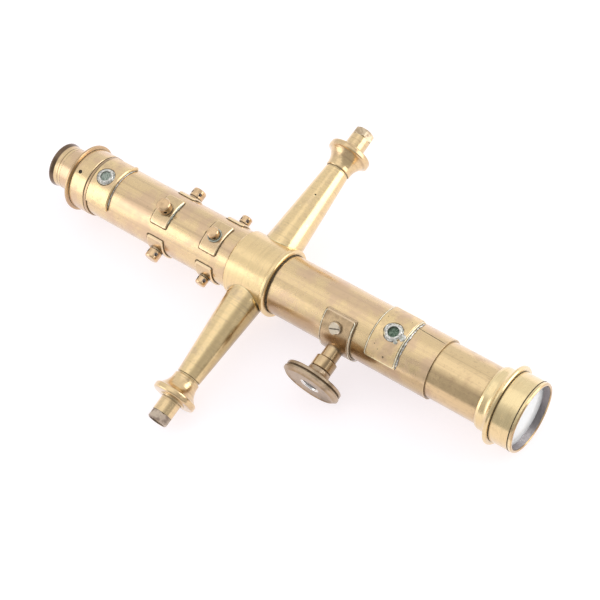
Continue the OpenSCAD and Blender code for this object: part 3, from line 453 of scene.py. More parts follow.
LOOKS = {
    "tube": brass("tube_metal", GOLD, PINK_TARNISH, 0.65, DRAWN_X, 0.24, pits=0.5, crevice_mm=2.2,
                  zones=TUBE_SHADE_ZONES),
    "draw": brass("draw_metal", GOLD, BROWN_TARNISH, 0.45, DRAWN_X, 0.19, seed=11.0, pits=0.3,
                  zones=DRAW_SHADE_ZONES),
    "eyepiece": brass("eyepiece_metal", PINK_TARNISH, GOLD, 0.5, LATHE_X, 0.26, seed=17.0),
    "eye_cap": brass("eye_cap_metal", GOLD, PINK_TARNISH, 0.6, LATHE_X, 0.26, seed=19.0, zones=CAP_ZONES),
    "band": brass("band_metal", YELLOW_GOLD, GOLD, 0.35, LATHE_X, 0.24, seed=23.0, pits=0.2, crevice_mm=2.0,
                  streak=0.3),
    "arm": brass("arm_metal", YELLOW_GOLD, OLIVE_TARNISH, 0.40, LATHE_Y, 0.19, seed=29.0, pits=0.4,
                 streak=0.3, zones=CONE_SHADE_ZONES),
    "collar": brass("collar_metal", GOLD, PINK_TARNISH, 0.6, LATHE_X, 0.24, seed=31.0, green=0.3, wear_and_highlight=0.35,
                    zones=COLLAR_ZONES),
    "rear_ring": brass("rear_ring_metal", BROWN_TARNISH, DEEP_BROWN, 0.6, LATHE_X, 0.28, seed=33.0),
    "pivot": brass("pivot_metal", GOLD, BROWN_TARNISH, 0.4, LATHE_Y, 0.21, seed=37.0, crevice_mm=2.0),
    "cell": brass("cell_metal", PALE_GOLD, YELLOW_GOLD, 0.4, LATHE_X, 0.20, seed=41.0, pits=0.4, streak=0.3,
                  zones=CELL_SHADE_ZONES),
    "bezel": brass("bezel_metal", PALE_GOLD, BROWN_TARNISH, 0.45, NO_GRAIN, 0.22, seed=83.0, pits=0.9,
                   streak=0.6, wear_and_highlight=0.35, zones=BEZEL_ZONES),
    "saddle": brass("saddle_metal", YELLOW_GOLD, PINK_TARNISH, 0.6, NO_GRAIN, 0.26, seed=43.0, green=0.5,
                    pits=0.8, edge_mm=0.7, wear_and_highlight=0.8),
    "plate": brass("plate_metal", PLATE_GOLD, DEEP_BROWN, 0.5, NO_GRAIN, 0.27, seed=47.0, green=0.2,
                   edge_mm=0.8, wear_and_highlight=0.8, crevice_mm=4.5, dirt_and_shade=1.1, zones=PLATE_SHADE_ZONES),
    "screw": brass("screw_metal", SCREW_GOLD, DEEP_BROWN, 0.3, NO_GRAIN, 0.24, seed=53.0, dirt_and_shade=1.0,
                   crevice_mm=2.6),
    "plate_screw": brass("plate_screw_metal", PALE_BRASS, FAWN_TARNISH, 0.5, NO_GRAIN, 0.28, seed=79.0,
                         dirt_and_shade=1.0, crevice_mm=2.0),
    "washer": brass("washer_metal", WASHER_GOLD, PINK_TARNISH, 0.5, NO_GRAIN, 0.26, seed=59.0, green=0.6,
                    dirt_and_shade=1.0, edge_mm=0.7, wear_and_highlight=0.8, crevice_mm=2.0),
    "ring": brass("ring_metal", GOLD, BROWN_TARNISH, 0.5, LATHE_X, 0.35, seed=61.0),
    "knob": brass("knob_metal", GREY_GOLD, GREY_TARNISH, 0.5, NO_GRAIN, 0.36, seed=67.0, edge_mm=0.6,
                  dirt_and_shade=0.7, crevice_mm=1.2, zones=KNOB_ZONES, streak=0.7, pits=0.6, coat=0.2),
    "sleeve": brass("sleeve_metal", SLEEVE_GOLD, BROWN_TARNISH, 0.4, LATHE_Y, 0.20, seed=71.0, crevice_mm=2.4,
                    zones=SLEEVE_SHADE_ZONES),
    # Painted highlight: near white brass for the hollow in the knob
    "highlit_lining": brass("highlit_lining_metal", HIGHLIGHT_BRASS, HIGHLIGHT_TARNISH, 0.4, NO_GRAIN, 0.24, seed=75.0, dirt_and_shade=0.0),
    # Rubbed brass with a painted highlight, for the rims of curved pieces
    "rubbed": brass("rubbed_highlight_metal", RUBBED_HIGHLIGHT_BRASS, RUBBED_HIGHLIGHT_TARNISH, 0.5, NO_GRAIN, 0.34, seed=77.0, dirt_and_shade=0.4,
                    green=0.0),
    "nut": steel("nut_metal", NUT_STEEL, NUT_STAIN, seed=3.0),
    "far_nut": steel("far_nut_metal", FAR_NUT_STEEL, FAR_NUT_STAIN, seed=4.0),
    "pinion": steel("pinion_metal", PINION_STEEL, PINION_STAIN, seed=7.0),
    "knob_screw": steel("knob_screw_metal", DARK_STEEL, DARK_STAIN, seed=73.0),
    "solder": tin("solder_metal"),
    "black": blackening("black_metal", BLACKENED, BLACKENED_WORN, 13.0, 0.2),
    "grey_wall": blackening("grey_wall_metal", GREY_WALL, GREY_WALL_WORN, 5.0, 0.5, 0.34),
    "objective": white_reflection_glass("objective_glass"),
    "lens": old_glass("lens_glass", 0.15),
    "crust": green_crust("green_crust", GREEN_SALT, GREEN_SALT_DARK),
    "pale_crust": green_crust("pale_crust", PALE_SALT, PALE_SALT_DARK),
    "grey_green": green_crust("grey_green_crust", GREY_SALT, GREY_SALT_DARK),
    # Dark lines of dirt, some of them laid as painted shade
    "joint_dirt_and_shade": dark_line("joint_dirt_and_shade", GRIME_AND_SHADE, GRIME_AND_SHADE_LIGHT),
    # Dark lines of dirt and painted shade round the feet of curved pieces
    "foot_dirt_and_shade": dark_line("foot_dirt_and_shade", FOOT_DIRT_AND_SHADE, FOOT_DIRT_AND_SHADE_LIGHT),
}

STATIONS = ("centring", "reticle")
SIDE_ANGLES = {"top": 0, "near": 90, "bottom": 180, "far": -90}
NODE_LOOKS = {
    "tube": ["main_tube"],
    "draw": ["draw_tube"],
    "eyepiece": ["eyepiece_tube"],
    "eye_cap": ["eye_cap"],
    "band": ["central_band"],
    "arm": ["axis_cone_near", "axis_cone_far"],
    "collar": ["rear_collar"],
    "rear_ring": ["rear_ring"],
    "pivot": ["pivot_collar_near", "pivot_collar_far"],
    "cell": ["objective_cell"],
    "bezel": ["objective_bezel"],
    "saddle": ["level_saddle_rear", "level_saddle_front"],
    "plate": ["pinion_plate"],
    "screw": [f"{kind}_screw_{side}" for kind in STATIONS for side in SIDE_ANGLES],
    "plate_screw": ["plate_screw_upper", "plate_screw_lower"],
    "washer": [f"{kind}_washer_{side}" for kind in STATIONS for side in SIDE_ANGLES],
    "ring": ["centring_ring", "reticle_ring"],
    "knob": ["focus_knob"],
    "sleeve": ["pinion_sleeve", "sleeve_gland"],
    "nut": ["pivot_nut_near"],
    "far_nut": ["pivot_nut_far"],
    "pinion": ["focus_pinion", "focus_rack"],
    "knob_screw": ["knob_screw"],
    "solder": ["level_bush_rear", "level_bush_front"],
    "black": ["collar_screw", "slide_stop", "eyepiece_stop", "cross_wires"],
    "grey_wall": ["lens_ring"],
    "objective": ["crown_lens", "flint_lens"],
    "lens": ["eye_lens", "field_lens", "erector_lens_rear", "erector_lens_front"],
}


def dress_nodes():
    for look, names in NODE_LOOKS.items():
        for name in names:
            slots = NODES[name].data.materials
            slots.clear()
            slots.append(LOOKS[look])


# Tools for the pieces that the solids leave out

# Scales of the uneven places in ropes and crusts, for each metre
SWELL_SCALE, LUMP_SCALE, CRUST_SCALE = 900.0, 2500.0, 1400.0


def turns(steps):
    """The angles of equal steps round a circle."""
    return [2 * math.pi * k / steps for k in range(steps)]


def on_tube(x, angle, r):
    """A point at a distance along the tube and an angle from the top towards the near side."""
    turn = math.radians(angle)
    return Vector((x, -r * math.sin(turn), r * math.cos(turn)))


def add_piece(name, mesh, look, body, smooth=True):
    data = bpy.data.meshes.new(name)
    bmesh.ops.recalc_face_normals(mesh, faces=mesh.faces)
    for face in mesh.faces:
        face.smooth = smooth
    mesh.to_mesh(data)
    mesh.free()
    piece = bpy.data.objects.new(name, data)
    bpy.context.scene.collection.objects.link(piece)
    data.materials.append(LOOKS[look])
    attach(piece, body)


def swept(mesh, rings, closed=False):
    """Joins rings of points into a skin, with the two ends filled unless the sweep is closed."""
    rows = [[mesh.verts.new(point) for point in ring] for ring in rings]
    last = len(rows) if closed else len(rows) - 1
    for i in range(last):
        a, b = rows[i], rows[(i + 1) % len(rows)]
        for k in range(len(a)):
            n = (k + 1) % len(a)
            mesh.faces.new((a[k], a[n], b[n], b[k]))
    if not closed:
        mesh.faces.new(rows[0])
        mesh.faces.new(rows[-1])


def cap(mesh, hub, rings):
    """A closed cap: a hub, rings of points that grow from it, and a flat floor on the last ring."""
    centre = mesh.verts.new(hub)
    rows = [[mesh.verts.new(point) for point in ring] for ring in rings]
    steps = len(rows[0])
    for k in range(steps):
        n = (k + 1) % steps
        mesh.faces.new((centre, rows[0][k], rows[0][n]))
        for inner, outer in zip(rows, rows[1:]):
            mesh.faces.new((inner[k], outer[k], outer[n], inner[n]))
    mesh.faces.new(rows[-1][::-1])


def rope(name, points, outs, radius, look, body, slot, uneven=0.35, seed=0.0, closed=False, flat=0.6,
         sides=10):
    """An uneven rope of solder or dirt along some points, flattened along the outward direction at each."""
    mesh = bmesh.new()
    rings = []
    count = len(points)
    for i, point in enumerate(points):
        before = points[i - 1] if i or closed else point
        after = points[(i + 1) % count] if i < count - 1 or closed else point
        along = (after - before).normalized()
        across = along.cross(outs[i]).normalized()
        swell = 1.0 + uneven * noise.noise(point * SWELL_SCALE + Vector((seed, 0, 0)))
        end = 1.0 if closed else min(1.0, 0.35 + 2.0 * min(i, count - 1 - i) / max(1, 0.2 * count))
        ring = []
        for k, turn in enumerate(turns(sides)):
            lump = 1.0 + 0.3 * uneven * noise.noise(point * LUMP_SCALE + Vector((seed, k * 0.7, 0)))
            wide = radius * swell * end * lump
            ring.append(point + across * wide * math.cos(turn) + outs[i] * wide * flat * math.sin(turn))
        rings.append(ring)
    swept(mesh, rings, closed)
    add_piece(name, mesh, look, body)


def bead(name, route, radius, look, body, slot, **form):
    """A rope along a route on the tube, given as points of x, angle and radius."""
    points = [on_tube(*p) for p in route]
    outs = [Vector((0.0, p.y, p.z)).normalized() for p in points]
    rope(name, points, outs, radius, look, body, slot, **form)


def hoop(name, x, r, radius, look, body, slot, **form):
    """A rope round the whole tube."""
    route = [(x, angle, r) for angle in range(0, 360, 4)]
    bead(name, route, radius, look, body, slot, closed=True, **form)


def outline(name, x0, x1, angle0, angle1, r, radius, look, body, slot, **form):
    """A rope round a curved rectangle on the tube, with rounded corners."""
    corner, corner_steps, pace = 1.2 * MM, 6, 0.6 * MM
    half_x, half_s = (x1 - x0) / 2, math.radians(angle1 - angle0) / 2 * r
    mid_x, mid_angle = (x0 + x1) / 2, (angle0 + angle1) / 2
    route = []
    for quarter, (sx, ss) in enumerate(((1, 1), (-1, 1), (-1, -1), (1, -1))):
        for k in range(corner_steps + 1):
            turn = math.radians(90 * quarter + 90 / corner_steps * k)
            x = mid_x + sx * (half_x - corner) + corner * math.cos(turn)
            s = ss * (half_s - corner) + corner * math.sin(turn)
            route.append((x, mid_angle + math.degrees(s / r), r))
    filled = []
    for a, b in zip(route, route[1:] + route[:1]):
        steps = max(1, int(max(abs(b[0] - a[0]), math.radians(abs(b[1] - a[1])) * r) / pace))
        filled += [tuple(p + (q - p) * i / steps for p, q in zip(a, b)) for i in range(steps)]
    bead(name, filled, radius, look, body, slot, closed=True, **form)


def blob(name, x, angle, r, size, look, body, seed, squash=0.45):
    """A lump that sits on the tube wall."""
    mesh = bmesh.new()
    bmesh.ops.create_icosphere(mesh, subdivisions=3, radius=1.0)
    centre = on_tube(x, angle, r)
    out = Vector((0.0, centre.y, centre.z)).normalized()
    along = Vector((1, 0, 0))
    across = out.cross(along)
    long_size, wide_size = size
    for vert in mesh.verts:
        p = vert.co.copy()
        lump = 1.0 + 0.25 * noise.noise(p * 1.8 + Vector((seed, seed, 0)))
        vert.co = centre + along * p.x * long_size * lump + across * p.y * wide_size * lump
        vert.co += out * p.z * squash * min(size) * lump
    add_piece(name, mesh, look, body)


# Solder and crusts

BUSH_STEPS = 48


def round_bush(centre, wide_at, r, lift=0.0):
    """A route round a bush on a saddle, at a distance from its axis that depends on the turn."""
    route = []
    for turn in turns(BUSH_STEPS):
        wide = wide_at(turn)
        route.append((centre.x + wide * math.cos(turn), math.degrees(-wide * math.sin(turn) / r), r + lift))
    return route


def halo_around(name, centre, wide, r):
    """A dark ring round a bush on a saddle."""
    ring = round_bush(centre, lambda turn: wide, r, 0.02 * MM)
    bead(name, ring, 0.20 * MM, "joint_dirt_and_shade", "tube", "saddle_brass", uneven=0.9, seed=8.0, closed=True,
         flat=0.4)


def front_saddle_solder():
    """Solder that has run out along the front edge of the front saddle and round its bush."""
    rng = random.Random(4)
    edge = SADDLE_FRONT + 0.15 * MM
    angles = range(-54, 57, 2)
    route = [(edge + 0.25 * MM * rng.random(), angle, TUBE_R + 0.25 * MM) for angle in angles]
    bead("saddle_front_fillet", route, 0.62 * MM, "solder", "tube", "solder", uneven=0.9, seed=3.0)
    # A dark line of painted shade along the front edge of the saddle, beside the solder
    route = [(SADDLE_FRONT - 0.05 * MM, angle, TUBE_R + 0.5 * MM) for angle in angles]
    bead("saddle_front_shade_line", route, 0.28 * MM, "joint_dirt_and_shade", "tube", "saddle_brass", uneven=0.7, seed=4.0)
    low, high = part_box("level_bush_front")
    centre, bush_r = (low + high) / 2, (high.x - low.x) / 2
    ring = round_bush(centre, lambda turn: bush_r * (1.02 + 0.05 * math.sin(3 * turn)), SADDLE_R, 0.02 * MM)
    bead("bush_front_fillet", ring, 0.40 * MM, "solder", "tube", "solder", uneven=1.0, seed=7.0, closed=True,
         flat=0.7)
    halo_around("bush_front_halo", centre, bush_r * 1.16, SADDLE_R)
    blob("bush_front_drop", 89.3 * MM, 2.0, SADDLE_R, (1.5 * MM, 1.9 * MM), "solder", "tube", 2.0)
    blob("bush_front_drop_low", 87.2 * MM, 13.0, SADDLE_R, (1.2 * MM, 1.0 * MM), "solder", "tube",
         5.0)


def rear_bush_solder():
    """Solder round the bush of the rear saddle and along the saddle's front edge."""
    low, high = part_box("level_bush_rear")
    centre, bush_r = (low + high) / 2, (high.x - low.x) / 2
    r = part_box("level_saddle_rear")[1].z - 0.6 * MM
    ring = round_bush(centre, lambda turn: bush_r * (1.05 + 0.05 * math.sin(2 * turn + 1)), r)
    bead("bush_rear_fillet", ring, 0.36 * MM, "solder", "tube", "solder", uneven=0.8, seed=17.0, closed=True)
    halo_around("bush_rear_halo", centre, bush_r * 1.17, r)
    edge = REAR_SADDLE_FRONT + 0.1 * MM
    route = [(edge, angle, TUBE_R + 0.2 * MM) for angle in range(-50, 54, 2)]
    bead("saddle_rear_fillet", route, 0.42 * MM, "solder", "tube", "solder", uneven=0.9, seed=21.0)


def bush_fill(name, node, look, depth, seed):
    """Uneven crust on the floor of a level bush."""
    low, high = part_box(node)
    centre, inner = (low + high) / 2, 2.85 * MM
    top, count, steps = low.z + depth, 6, 28
    rings = []
    for i in range(1, count + 1):
        r = inner * i / count
        ring = []
        for turn in turns(steps):
            flat_point = Vector((centre.x + r * math.cos(turn), r * math.sin(turn), 0))
            bump = 0.22 * MM * noise.noise(flat_point * CRUST_SCALE + Vector((seed, 0, 0)))
            ring.append((flat_point.x, flat_point.y, top + bump))
        rings.append(ring)
    rings.append([(x, y, low.z + 0.01 * MM) for x, y, z in rings[-1]])
    mesh = bmesh.new()
    cap(mesh, (centre.x, 0, top + 0.1 * MM), rings)
    add_piece(name, mesh, look, "tube")


def crusts():
    """Pale salts along the edge of one washer and round the foot of one screw."""
    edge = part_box("centring_washer_top")[1].x
    route = [(edge + 0.1 * MM, angle, TUBE_R + 0.62 * MM) for angle in range(-27, 23, 2)]
    bead("washer_crust", route, 0.44 * MM, "pale_crust", "centring_cross_slide", "solder", uneven=1.0,
         seed=2.0)
    screw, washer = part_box("reticle_screw_top"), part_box("reticle_washer_top")
    centre, head_r = (screw[0] + screw[1]) / 2, (screw[1].x - screw[0].x) / 2
    wide, height = head_r + 0.42 * MM, washer[1].z - 0.05 * MM
    points = [Vector((centre.x + wide * math.cos(turn), wide * math.sin(turn), height)) for turn in turns(40)]
    rope("screw_foot_crust", points, [Vector((0, 0, 1))] * len(points), 0.34 * MM, "pale_crust",
         "reticle_cross_slide", "solder", uneven=1.0, seed=6.0, closed=True)


# Glass, lining and thread

# Radius and depth from the knob's face, in millimetres, round the section of the lining
HOLLOW_SECTION = ((4.58, 2.5), (4.58, 0.92), (4.95, 0.52), (5.2, 0.48), (5.2, 0.56), (4.9, 0.66), (4.40, 1.0),
                  (4.40, 2.5))


def objective_face():
    """The front glass, painted milky white as a stand-in for the white surroundings that it reflects and
    shows through, which stands directly behind the thread of the mouth.
    """
    edge_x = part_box("objective_bezel")[1].x - 3.75 * MM
    wide, bulge, thick, count = 16.55 * MM, 1.7 * MM, 0.3 * MM, 8
    round_turns = turns(72)
    rings = []
    for i in range(1, count + 1):
        r = wide * i / count
        x = edge_x + bulge * (1 - (i / count) ** 2)
        rings.append([(x, r * math.cos(turn), r * math.sin(turn)) for turn in round_turns])
    rings.append([(edge_x - thick, y, z) for x, y, z in rings[-1]])
    mesh = bmesh.new()
    cap(mesh, (edge_x + bulge, 0, 0), rings)
    add_piece("objective_face", mesh, "objective", "objective_slide")


def knob_hollow():
    """The wall and lip of the hollow in the knob's face, painted near white as a highlight."""
    low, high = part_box("focus_knob")
    middle_x = (low.x + high.x) / 2
    rings = [[(middle_x + r * MM * math.cos(turn), low.y + depth * MM, r * MM * math.sin(turn))
              for r, depth in HOLLOW_SECTION] for turn in turns(48)]
    mesh = bmesh.new()
    swept(mesh, rings, closed=True)
    add_piece("knob_hollow", mesh, "highlit_lining", "focus_shaft")


def bezel_thread():
    """Fine rings of the thread inside the mouth of the objective."""
    mouth_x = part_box("objective_bezel")[1].x
    start, end = mouth_x - 3.9 * MM, mouth_x - 0.5 * MM
    outer, foot = 16.69 * MM, 0.02 * MM
    pitch, depth = 0.42 * MM, 0.16 * MM
    count = int((end - start) / pitch)
    section = []
    for i in range(count):
        x = start + i * pitch
        section += [(x, outer - foot), (x + pitch / 2, outer - depth)]
    section += [(start + count * pitch, outer - foot), (start + count * pitch, outer), (start, outer)]
    rings = [[(x, r * math.cos(turn), r * math.sin(turn)) for x, r in section] for turn in turns(96)]
    mesh = bmesh.new()
    swept(mesh, rings, closed=True)
    add_piece("mouth_thread", mesh, "grey_wall", "objective_slide", smooth=False)


# Dirt and wear

def dirt_and_shade_round_foot(name, x0, x1, angle0, angle1, body, slot, seed):
    """Dirt and painted shade on the tube round the foot of a curved piece."""
    spread = 0.45 * MM
    turn = math.degrees(spread / TUBE_R)
    outline(name, x0 - spread, x1 + 0.1 * MM, angle0 - turn, angle1 + turn, TUBE_R + 0.05 * MM, 0.36 * MM,
            "foot_dirt_and_shade", body, slot, uneven=1.0, seed=seed, flat=0.3, sides=6)


def rubbed_highlight_rim(name, x0, x1, angle0, angle1, r, body, slot, seed):
    """The rounded, rubbed edge of a curved piece, painted pale as a highlight."""
    inset = 0.26 * MM
    turn = math.degrees(inset / r)
    outline(name, x0 + inset, x1 - inset, angle0 + turn, angle1 - turn, r - 0.16 * MM, 0.24 * MM, "rubbed",
            body, slot, uneven=0.5, seed=seed, sides=8)


def foot_lines():
    """Dirt and painted shade round the feet of the curved washers, the plate and the saddles, and their
    rubbed rims painted pale as highlights.
    """
    for kind in STATIONS:
        for side, middle in SIDE_ANGLES.items():
            low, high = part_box(f"{kind}_washer_{side}")
            upright = side in ("top", "bottom")
            half = (high.y - low.y) / 2 if upright else (high.z - low.z) / 2
            half = math.degrees(math.asin(min(1.0, half / WASHER_R)))
            body = f"{kind}_cross_slide" if upright else f"{kind}_rise_slide"
            place = (low.x, high.x, middle - half, middle + half)
            dirt_and_shade_round_foot(f"{kind}_{side}_foot", *place, body, "washer_brass", middle)
            rubbed_highlight_rim(f"{kind}_{side}_rim", *place, WASHER_R, body, "washer_brass", middle)
    low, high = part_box("pinion_plate")
    upper, lower = (math.degrees(math.acos(z / PLATE_R)) for z in (high.z, low.z))
    place = (low.x, high.x, upper, lower)
    dirt_and_shade_round_foot("plate_foot", *place, "tube", "saddle_brass", 3.0)
    rubbed_highlight_rim("plate_rim", *place, PLATE_R, "tube", "saddle_brass", 3.0)
    for node in ("level_saddle_front", "level_saddle_rear"):
        low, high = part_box(node)
        half = math.degrees(math.asin(min(1.0, high.y / high.z)))
        dirt_and_shade_round_foot(f"{node}_foot", low.x, high.x, -half, half, "tube", "saddle_brass", 5.0)
        if node == "level_saddle_front":
            rubbed_highlight_rim(f"{node}_rim", low.x, high.x, -half, half, SADDLE_R, "tube", "saddle_brass", 5.0)


def arm_root_dirt(name, side):
    """Dirt where an arm of the horizontal axis enters the band, on the near side (-1) or the far side (1)."""
    arm_r = 9.95 * MM
    points, outs = [], []
    for turn in turns(72):
        x, z = arm_r * math.cos(turn), arm_r * math.sin(turn)
        points.append(Vector((x, side * math.sqrt(BAND_R ** 2 - z ** 2), z)))
        outs.append(Vector((x, side * BAND_R, z)).normalized())
    rope(name, points, outs, 0.20 * MM, "joint_dirt_and_shade", "tube", "band_brass", closed=True, flat=0.5, sides=6)


def dirt_lines():
    """Dirt packed along the turned shoulders, in front of the edges that stand out, and painted shade in
    front of the band's bead and at the foot of the collar's lip.
    """
    collar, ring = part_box("rear_collar"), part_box("rear_ring")
    cell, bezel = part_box("objective_cell"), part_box("objective_bezel")
    cell_r = bezel[1].z
    # Name, place along the tube, radius of the hoop, radius of the rope in millimetres, slot
    tube_hoops = (
        # Painted shade in front of the band's bead
        ("band_front_shade_line", BAND_FRONT + 0.35 * MM, TUBE_R, 0.58, "band_brass"),
        ("bead_back_dirt", BAND_FRONT - 2.85 * MM, BAND_R, 0.20, "band_brass"),
        ("band_rear_dirt", BAND_REAR - 0.15 * MM, TUBE_R, 0.22, "band_brass"),
        # Painted shade at the foot of the collar's lip
        ("collar_lip_shade_line", collar[0].x + 2.0 * MM, collar[1].z - 1.7 * MM, 0.26, "turned_brass"),
        ("ring_back_dirt", ring[0].x - 0.1 * MM, ring[1].z - 0.1 * MM, 0.22, "turned_brass"),
        ("ring_front_dirt", ring[1].x + 0.1 * MM, TUBE_R, 0.26, "turned_brass"),
    )
    slide_hoops = (
        ("cell_back_dirt", cell[0].x - 0.05 * MM, 15.0 * MM, 0.24, "turned_brass"),
        ("flange_foot_dirt", cell[0].x + 9.5 * MM, cell_r, 0.20, "turned_brass"),
        ("bezel_dirt", bezel[0].x - 0.05 * MM, cell_r - 0.02 * MM, 0.25, "turned_brass"),
    )
    for body, hoops in (("tube", tube_hoops), ("objective_slide", slide_hoops)):
        for seed, (name, x, r, radius, slot) in enumerate(hoops):
            hoop(name, x, r, radius * MM, "joint_dirt_and_shade", body, slot, uneven=0.5, seed=seed, flat=0.5, sides=6)
    arm_root_dirt("arm_root_dirt_near", -1)
    arm_root_dirt("arm_root_dirt_far", 1)


# Start and step of the tube's seam in millimetres, and its number of points
SEAM_START, SEAM_STEP, SEAM_POINTS = 91.6, 0.5, 33
# Its angle at one place along the tube in degrees, and the degrees that it gains over a span in millimetres
SEAM_ANGLE, SEAM_ZERO = -33, 93.2
SEAM_LEAN, SEAM_SPAN = 3, 14.2


def tube_seam():
    """Dark slit that runs from the front saddle to the open end of the tube."""
    route = []
    for i in range(SEAM_POINTS):
        x = SEAM_START + SEAM_STEP * i
        route.append((x * MM, SEAM_ANGLE + SEAM_LEAN * (x - SEAM_ZERO) / SEAM_SPAN, TUBE_R - 0.05 * MM))
    bead("tube_seam", route, 0.25 * MM, "joint_dirt_and_shade", "tube", "tube_brass", uneven=0.3, seed=1.0, flat=0.4,
         sides=6)


def saddle_pits():
    """The flush rivet of the front saddle and small dark pits on it."""
    # Place along the tube and size in millimetres, with the angle between them
    marks = ((84.5, 44, 0.5), (78.0, 30, 0.28), (80.5, 36, 0.22), (76.5, -20, 0.22), (88.0, -32, 0.2))
    for i, (x, angle, size) in enumerate(marks):
        blob(f"saddle_pit_{i}", x * MM, angle, SADDLE_R, (size * MM, size * MM), "joint_dirt_and_shade", "tube",
             i, 0.15)


# Ends of the arms' cones, as distance from the tube's axis and radius in millimetres
CONE_ROOT_Y, CONE_ROOT_R = 18.2, 9.8
CONE_TIP_Y, CONE_TIP_R = 66.8, 6.6


def casting_pits():
    """Small holes in the casting of the far arm."""
    # Distance from the tube's axis in millimetres, angle from the top, and size in millimetres
    for i, (y, angle, size) in enumerate(((47, 12, 0.5), (31, 52, 0.45), (27, 38, 0.4), (38, -10, 0.3))):
        r = CONE_ROOT_R + (CONE_TIP_R - CONE_ROOT_R) * (y - CONE_ROOT_Y) / (CONE_TIP_Y - CONE_ROOT_Y)
        mesh = bmesh.new()
        bmesh.ops.create_icosphere(mesh, subdivisions=2, radius=1.0)
        turn = math.radians(angle)
        out = Vector((math.sin(turn), 0, math.cos(turn)))
        side = Vector((math.cos(turn), 0, -math.sin(turn)))
        centre = out * r * MM + Vector((0, y * MM, 0))
        along = Vector((0, 1, 0))
        for vert in mesh.verts:
            p = vert.co.copy()
            vert.co = centre + (side * p.x * size + along * p.y * size * 1.5 + out * p.z * 0.06) * MM
        add_piece(f"arm_pit_{i}", mesh, "joint_dirt_and_shade", "tube")


# Floor

FLOOR_HALF = 3.0
# Colours of the paper, and the glow that keeps it white, as its colour, its share and its level of light
PAPER, PAPER_LIGHT = (0.92, 0.94, 0.95), (0.935, 0.95, 0.96)
GLOW_COLOUR = (1.0, 0.93, 0.955)
GLOW_SHARE, GLOW_LEVEL = 0.55, 0.748
# Places that touch the floor: two as distances from the rear end of their piece, and one from the tube's axis
LIP_FROM_END = 1.4 * MM
FLANGE_FROM_END = 8.4 * MM
NEAR_FLANGE_Y = 78.5 * MM


def facing_away(way, distance):
    """The place at a distance along a direction, with its Z axis along that direction."""
    return Matrix.Translation(way * distance) @ way.to_track_quat("Z", "Y").to_matrix().to_4x4()


def touching_plane():
    """Normal and height of the floor that carries the rear lip, the objective flange and the near flange."""
    lip, flange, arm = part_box("rear_collar"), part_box("objective_cell"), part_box("pivot_collar_near")
    lip_r, flange_r, arm_r = lip[1].z, flange[1].z, arm[1].x
    lip_x = lip[0].x + LIP_FROM_END
    flange_x = flange[0].x + FLANGE_FROM_END
    lean_x = (flange_r - lip_r) / (flange_x - lip_x)
    height = flange_r - flange_x * lean_x
    lean_y = (height - arm_r) / NEAR_FLANGE_Y
    normal = Vector((lean_x, lean_y, math.sqrt(1 - lean_x ** 2 - lean_y ** 2)))
    return normal, height


def floor_material():
    """White paper that stays white to the eye and in reflections, and takes a faint rosy shadow. It can't be
    seen from below."""
    s = new_material("floor_white")
    seen = s.rays("Is Camera Ray", "Is Glossy Ray", "Is Transmission Ray")
    paper = s.mix(s.noise(s.place(0.0), 0.02), PAPER, PAPER_LIGHT)
    matt = s.node("ShaderNodeBsdfDiffuse", {"Color": paper})
    glow = s.node("ShaderNodeEmission", {"Color": GLOW_COLOUR, "Strength": GLOW_LEVEL / GLOW_SHARE})
    lit = s.node("ShaderNodeMixShader", {0: s.math("MULTIPLY", seen, GLOW_SHARE), 1: matt, 2: glow})
    behind = s.math("MULTIPLY", s.node("ShaderNodeNewGeometry", out="Backfacing"), s.rays("Is Camera Ray"))
    clear = s.node("ShaderNodeBsdfTransparent", {"Color": (1.0, 1.0, 1.0)})
    return s.end("ShaderNodeOutputMaterial", s.node("ShaderNodeMixShader", {0: behind, 1: lit, 2: clear}))


def make_floor():
    normal, height = touching_plane()
    mesh = bmesh.new()
    bmesh.ops.create_grid(mesh, x_segments=1, y_segments=1, size=FLOOR_HALF)
    data = bpy.data.meshes.new("floor")
    mesh.to_mesh(data)
    mesh.free()
    floor = bpy.data.objects.new("floor", data)
    bpy.context.scene.collection.objects.link(floor)
    floor.matrix_world = facing_away(normal, -height)
    data.materials.append(floor_material())


# Light

# Levels of the tent and of its open side, the direction of that side, and where the change starts and ends
TENT_LEVEL, ROOM_LEVEL = 0.88, 0.50
ROOM_WAY = (0.669, -0.743, 0.0)
ROOM_START, ROOM_FULL = -0.02, 0.33
LAMP_DISTANCE = 1.2
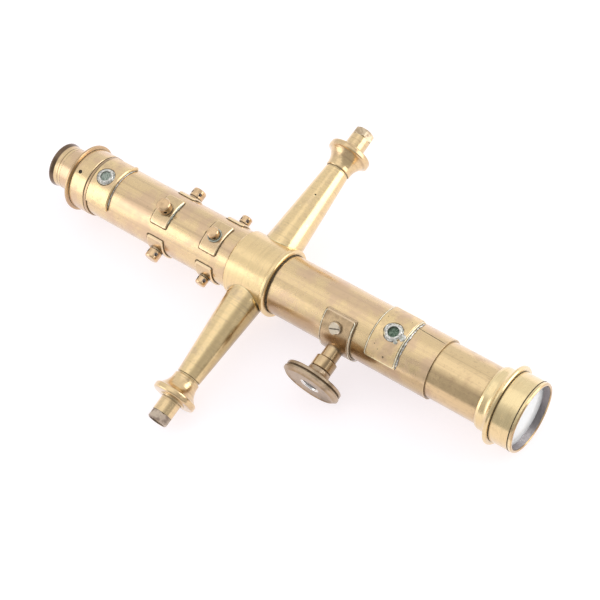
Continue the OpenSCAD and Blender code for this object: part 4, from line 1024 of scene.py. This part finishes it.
# Azimuth and elevation from the object in degrees, width and height in metres, and level of light
LAMPS = {
    "left_panel": (-139, 25, 0.55, 0.95, 1.24),
    "left_strip": (-120, 18, 0.25, 0.78, 0.70),
    "right_panel": (36, 16, 0.90, 0.92, 2.00),
    "top_panel": (140, 76, 0.87, 0.87, 0.23),
}


def make_world():
    """A pale tent, dimmer on the side where it is open, and plain white behind the object."""
    world = bpy.data.worlds.new("tent")
    bpy.context.scene.world = world
    s = Nodes(world)
    way = s.node("ShaderNodeTexCoord", out="Generated")
    facing = s.node("ShaderNodeVectorMath", {0: way, 1: ROOM_WAY}, out="Value", operation="DOT_PRODUCT")
    level = s.remap(facing, ROOM_START, ROOM_FULL, TENT_LEVEL, ROOM_LEVEL)
    seen = s.rays("Is Camera Ray", "Is Transmission Ray")
    strength = s.math("ADD", s.math("MULTIPLY", level, s.math("SUBTRACT", 1.0, seen)), seen)
    sky = s.node("ShaderNodeBackground", {"Color": (1.0, 1.0, 1.0), "Strength": strength})
    s.end("ShaderNodeOutputWorld", sky)


def lamp(name, azimuth, elevation, width, height, level):
    """A soft panel whose face has a plain level of light, at a direction from the object."""
    a, e = math.radians(azimuth), math.radians(elevation)
    way = Vector((math.cos(a) * math.cos(e), math.sin(a) * math.cos(e), math.sin(e)))
    data = bpy.data.lights.new(name, "AREA")
    data.shape = "RECTANGLE"
    data.size, data.size_y = width, height
    data.energy = level * math.pi * width * height
    panel = bpy.data.objects.new(name, data)
    bpy.context.scene.collection.objects.link(panel)
    panel.matrix_world = facing_away(way, LAMP_DISTANCE)
    panel.visible_camera = False


make_camera()
dress_nodes()
front_saddle_solder()
rear_bush_solder()
bush_fill("bush_front_crust", "level_bush_front", "crust", 0.5 * MM, 1.0)
bush_fill("bush_rear_crust", "level_bush_rear", "grey_green", 1.2 * MM, 9.0)
objective_face()
foot_lines()
knob_hollow()
dirt_lines()
crusts()
tube_seam()
saddle_pits()
casting_pits()
bezel_thread()
make_floor()
make_world()
for lamp_name, lamp_form in LAMPS.items():
    lamp(lamp_name, *lamp_form)

view_settings = bpy.context.scene.view_settings
view_settings.view_transform = "Standard"
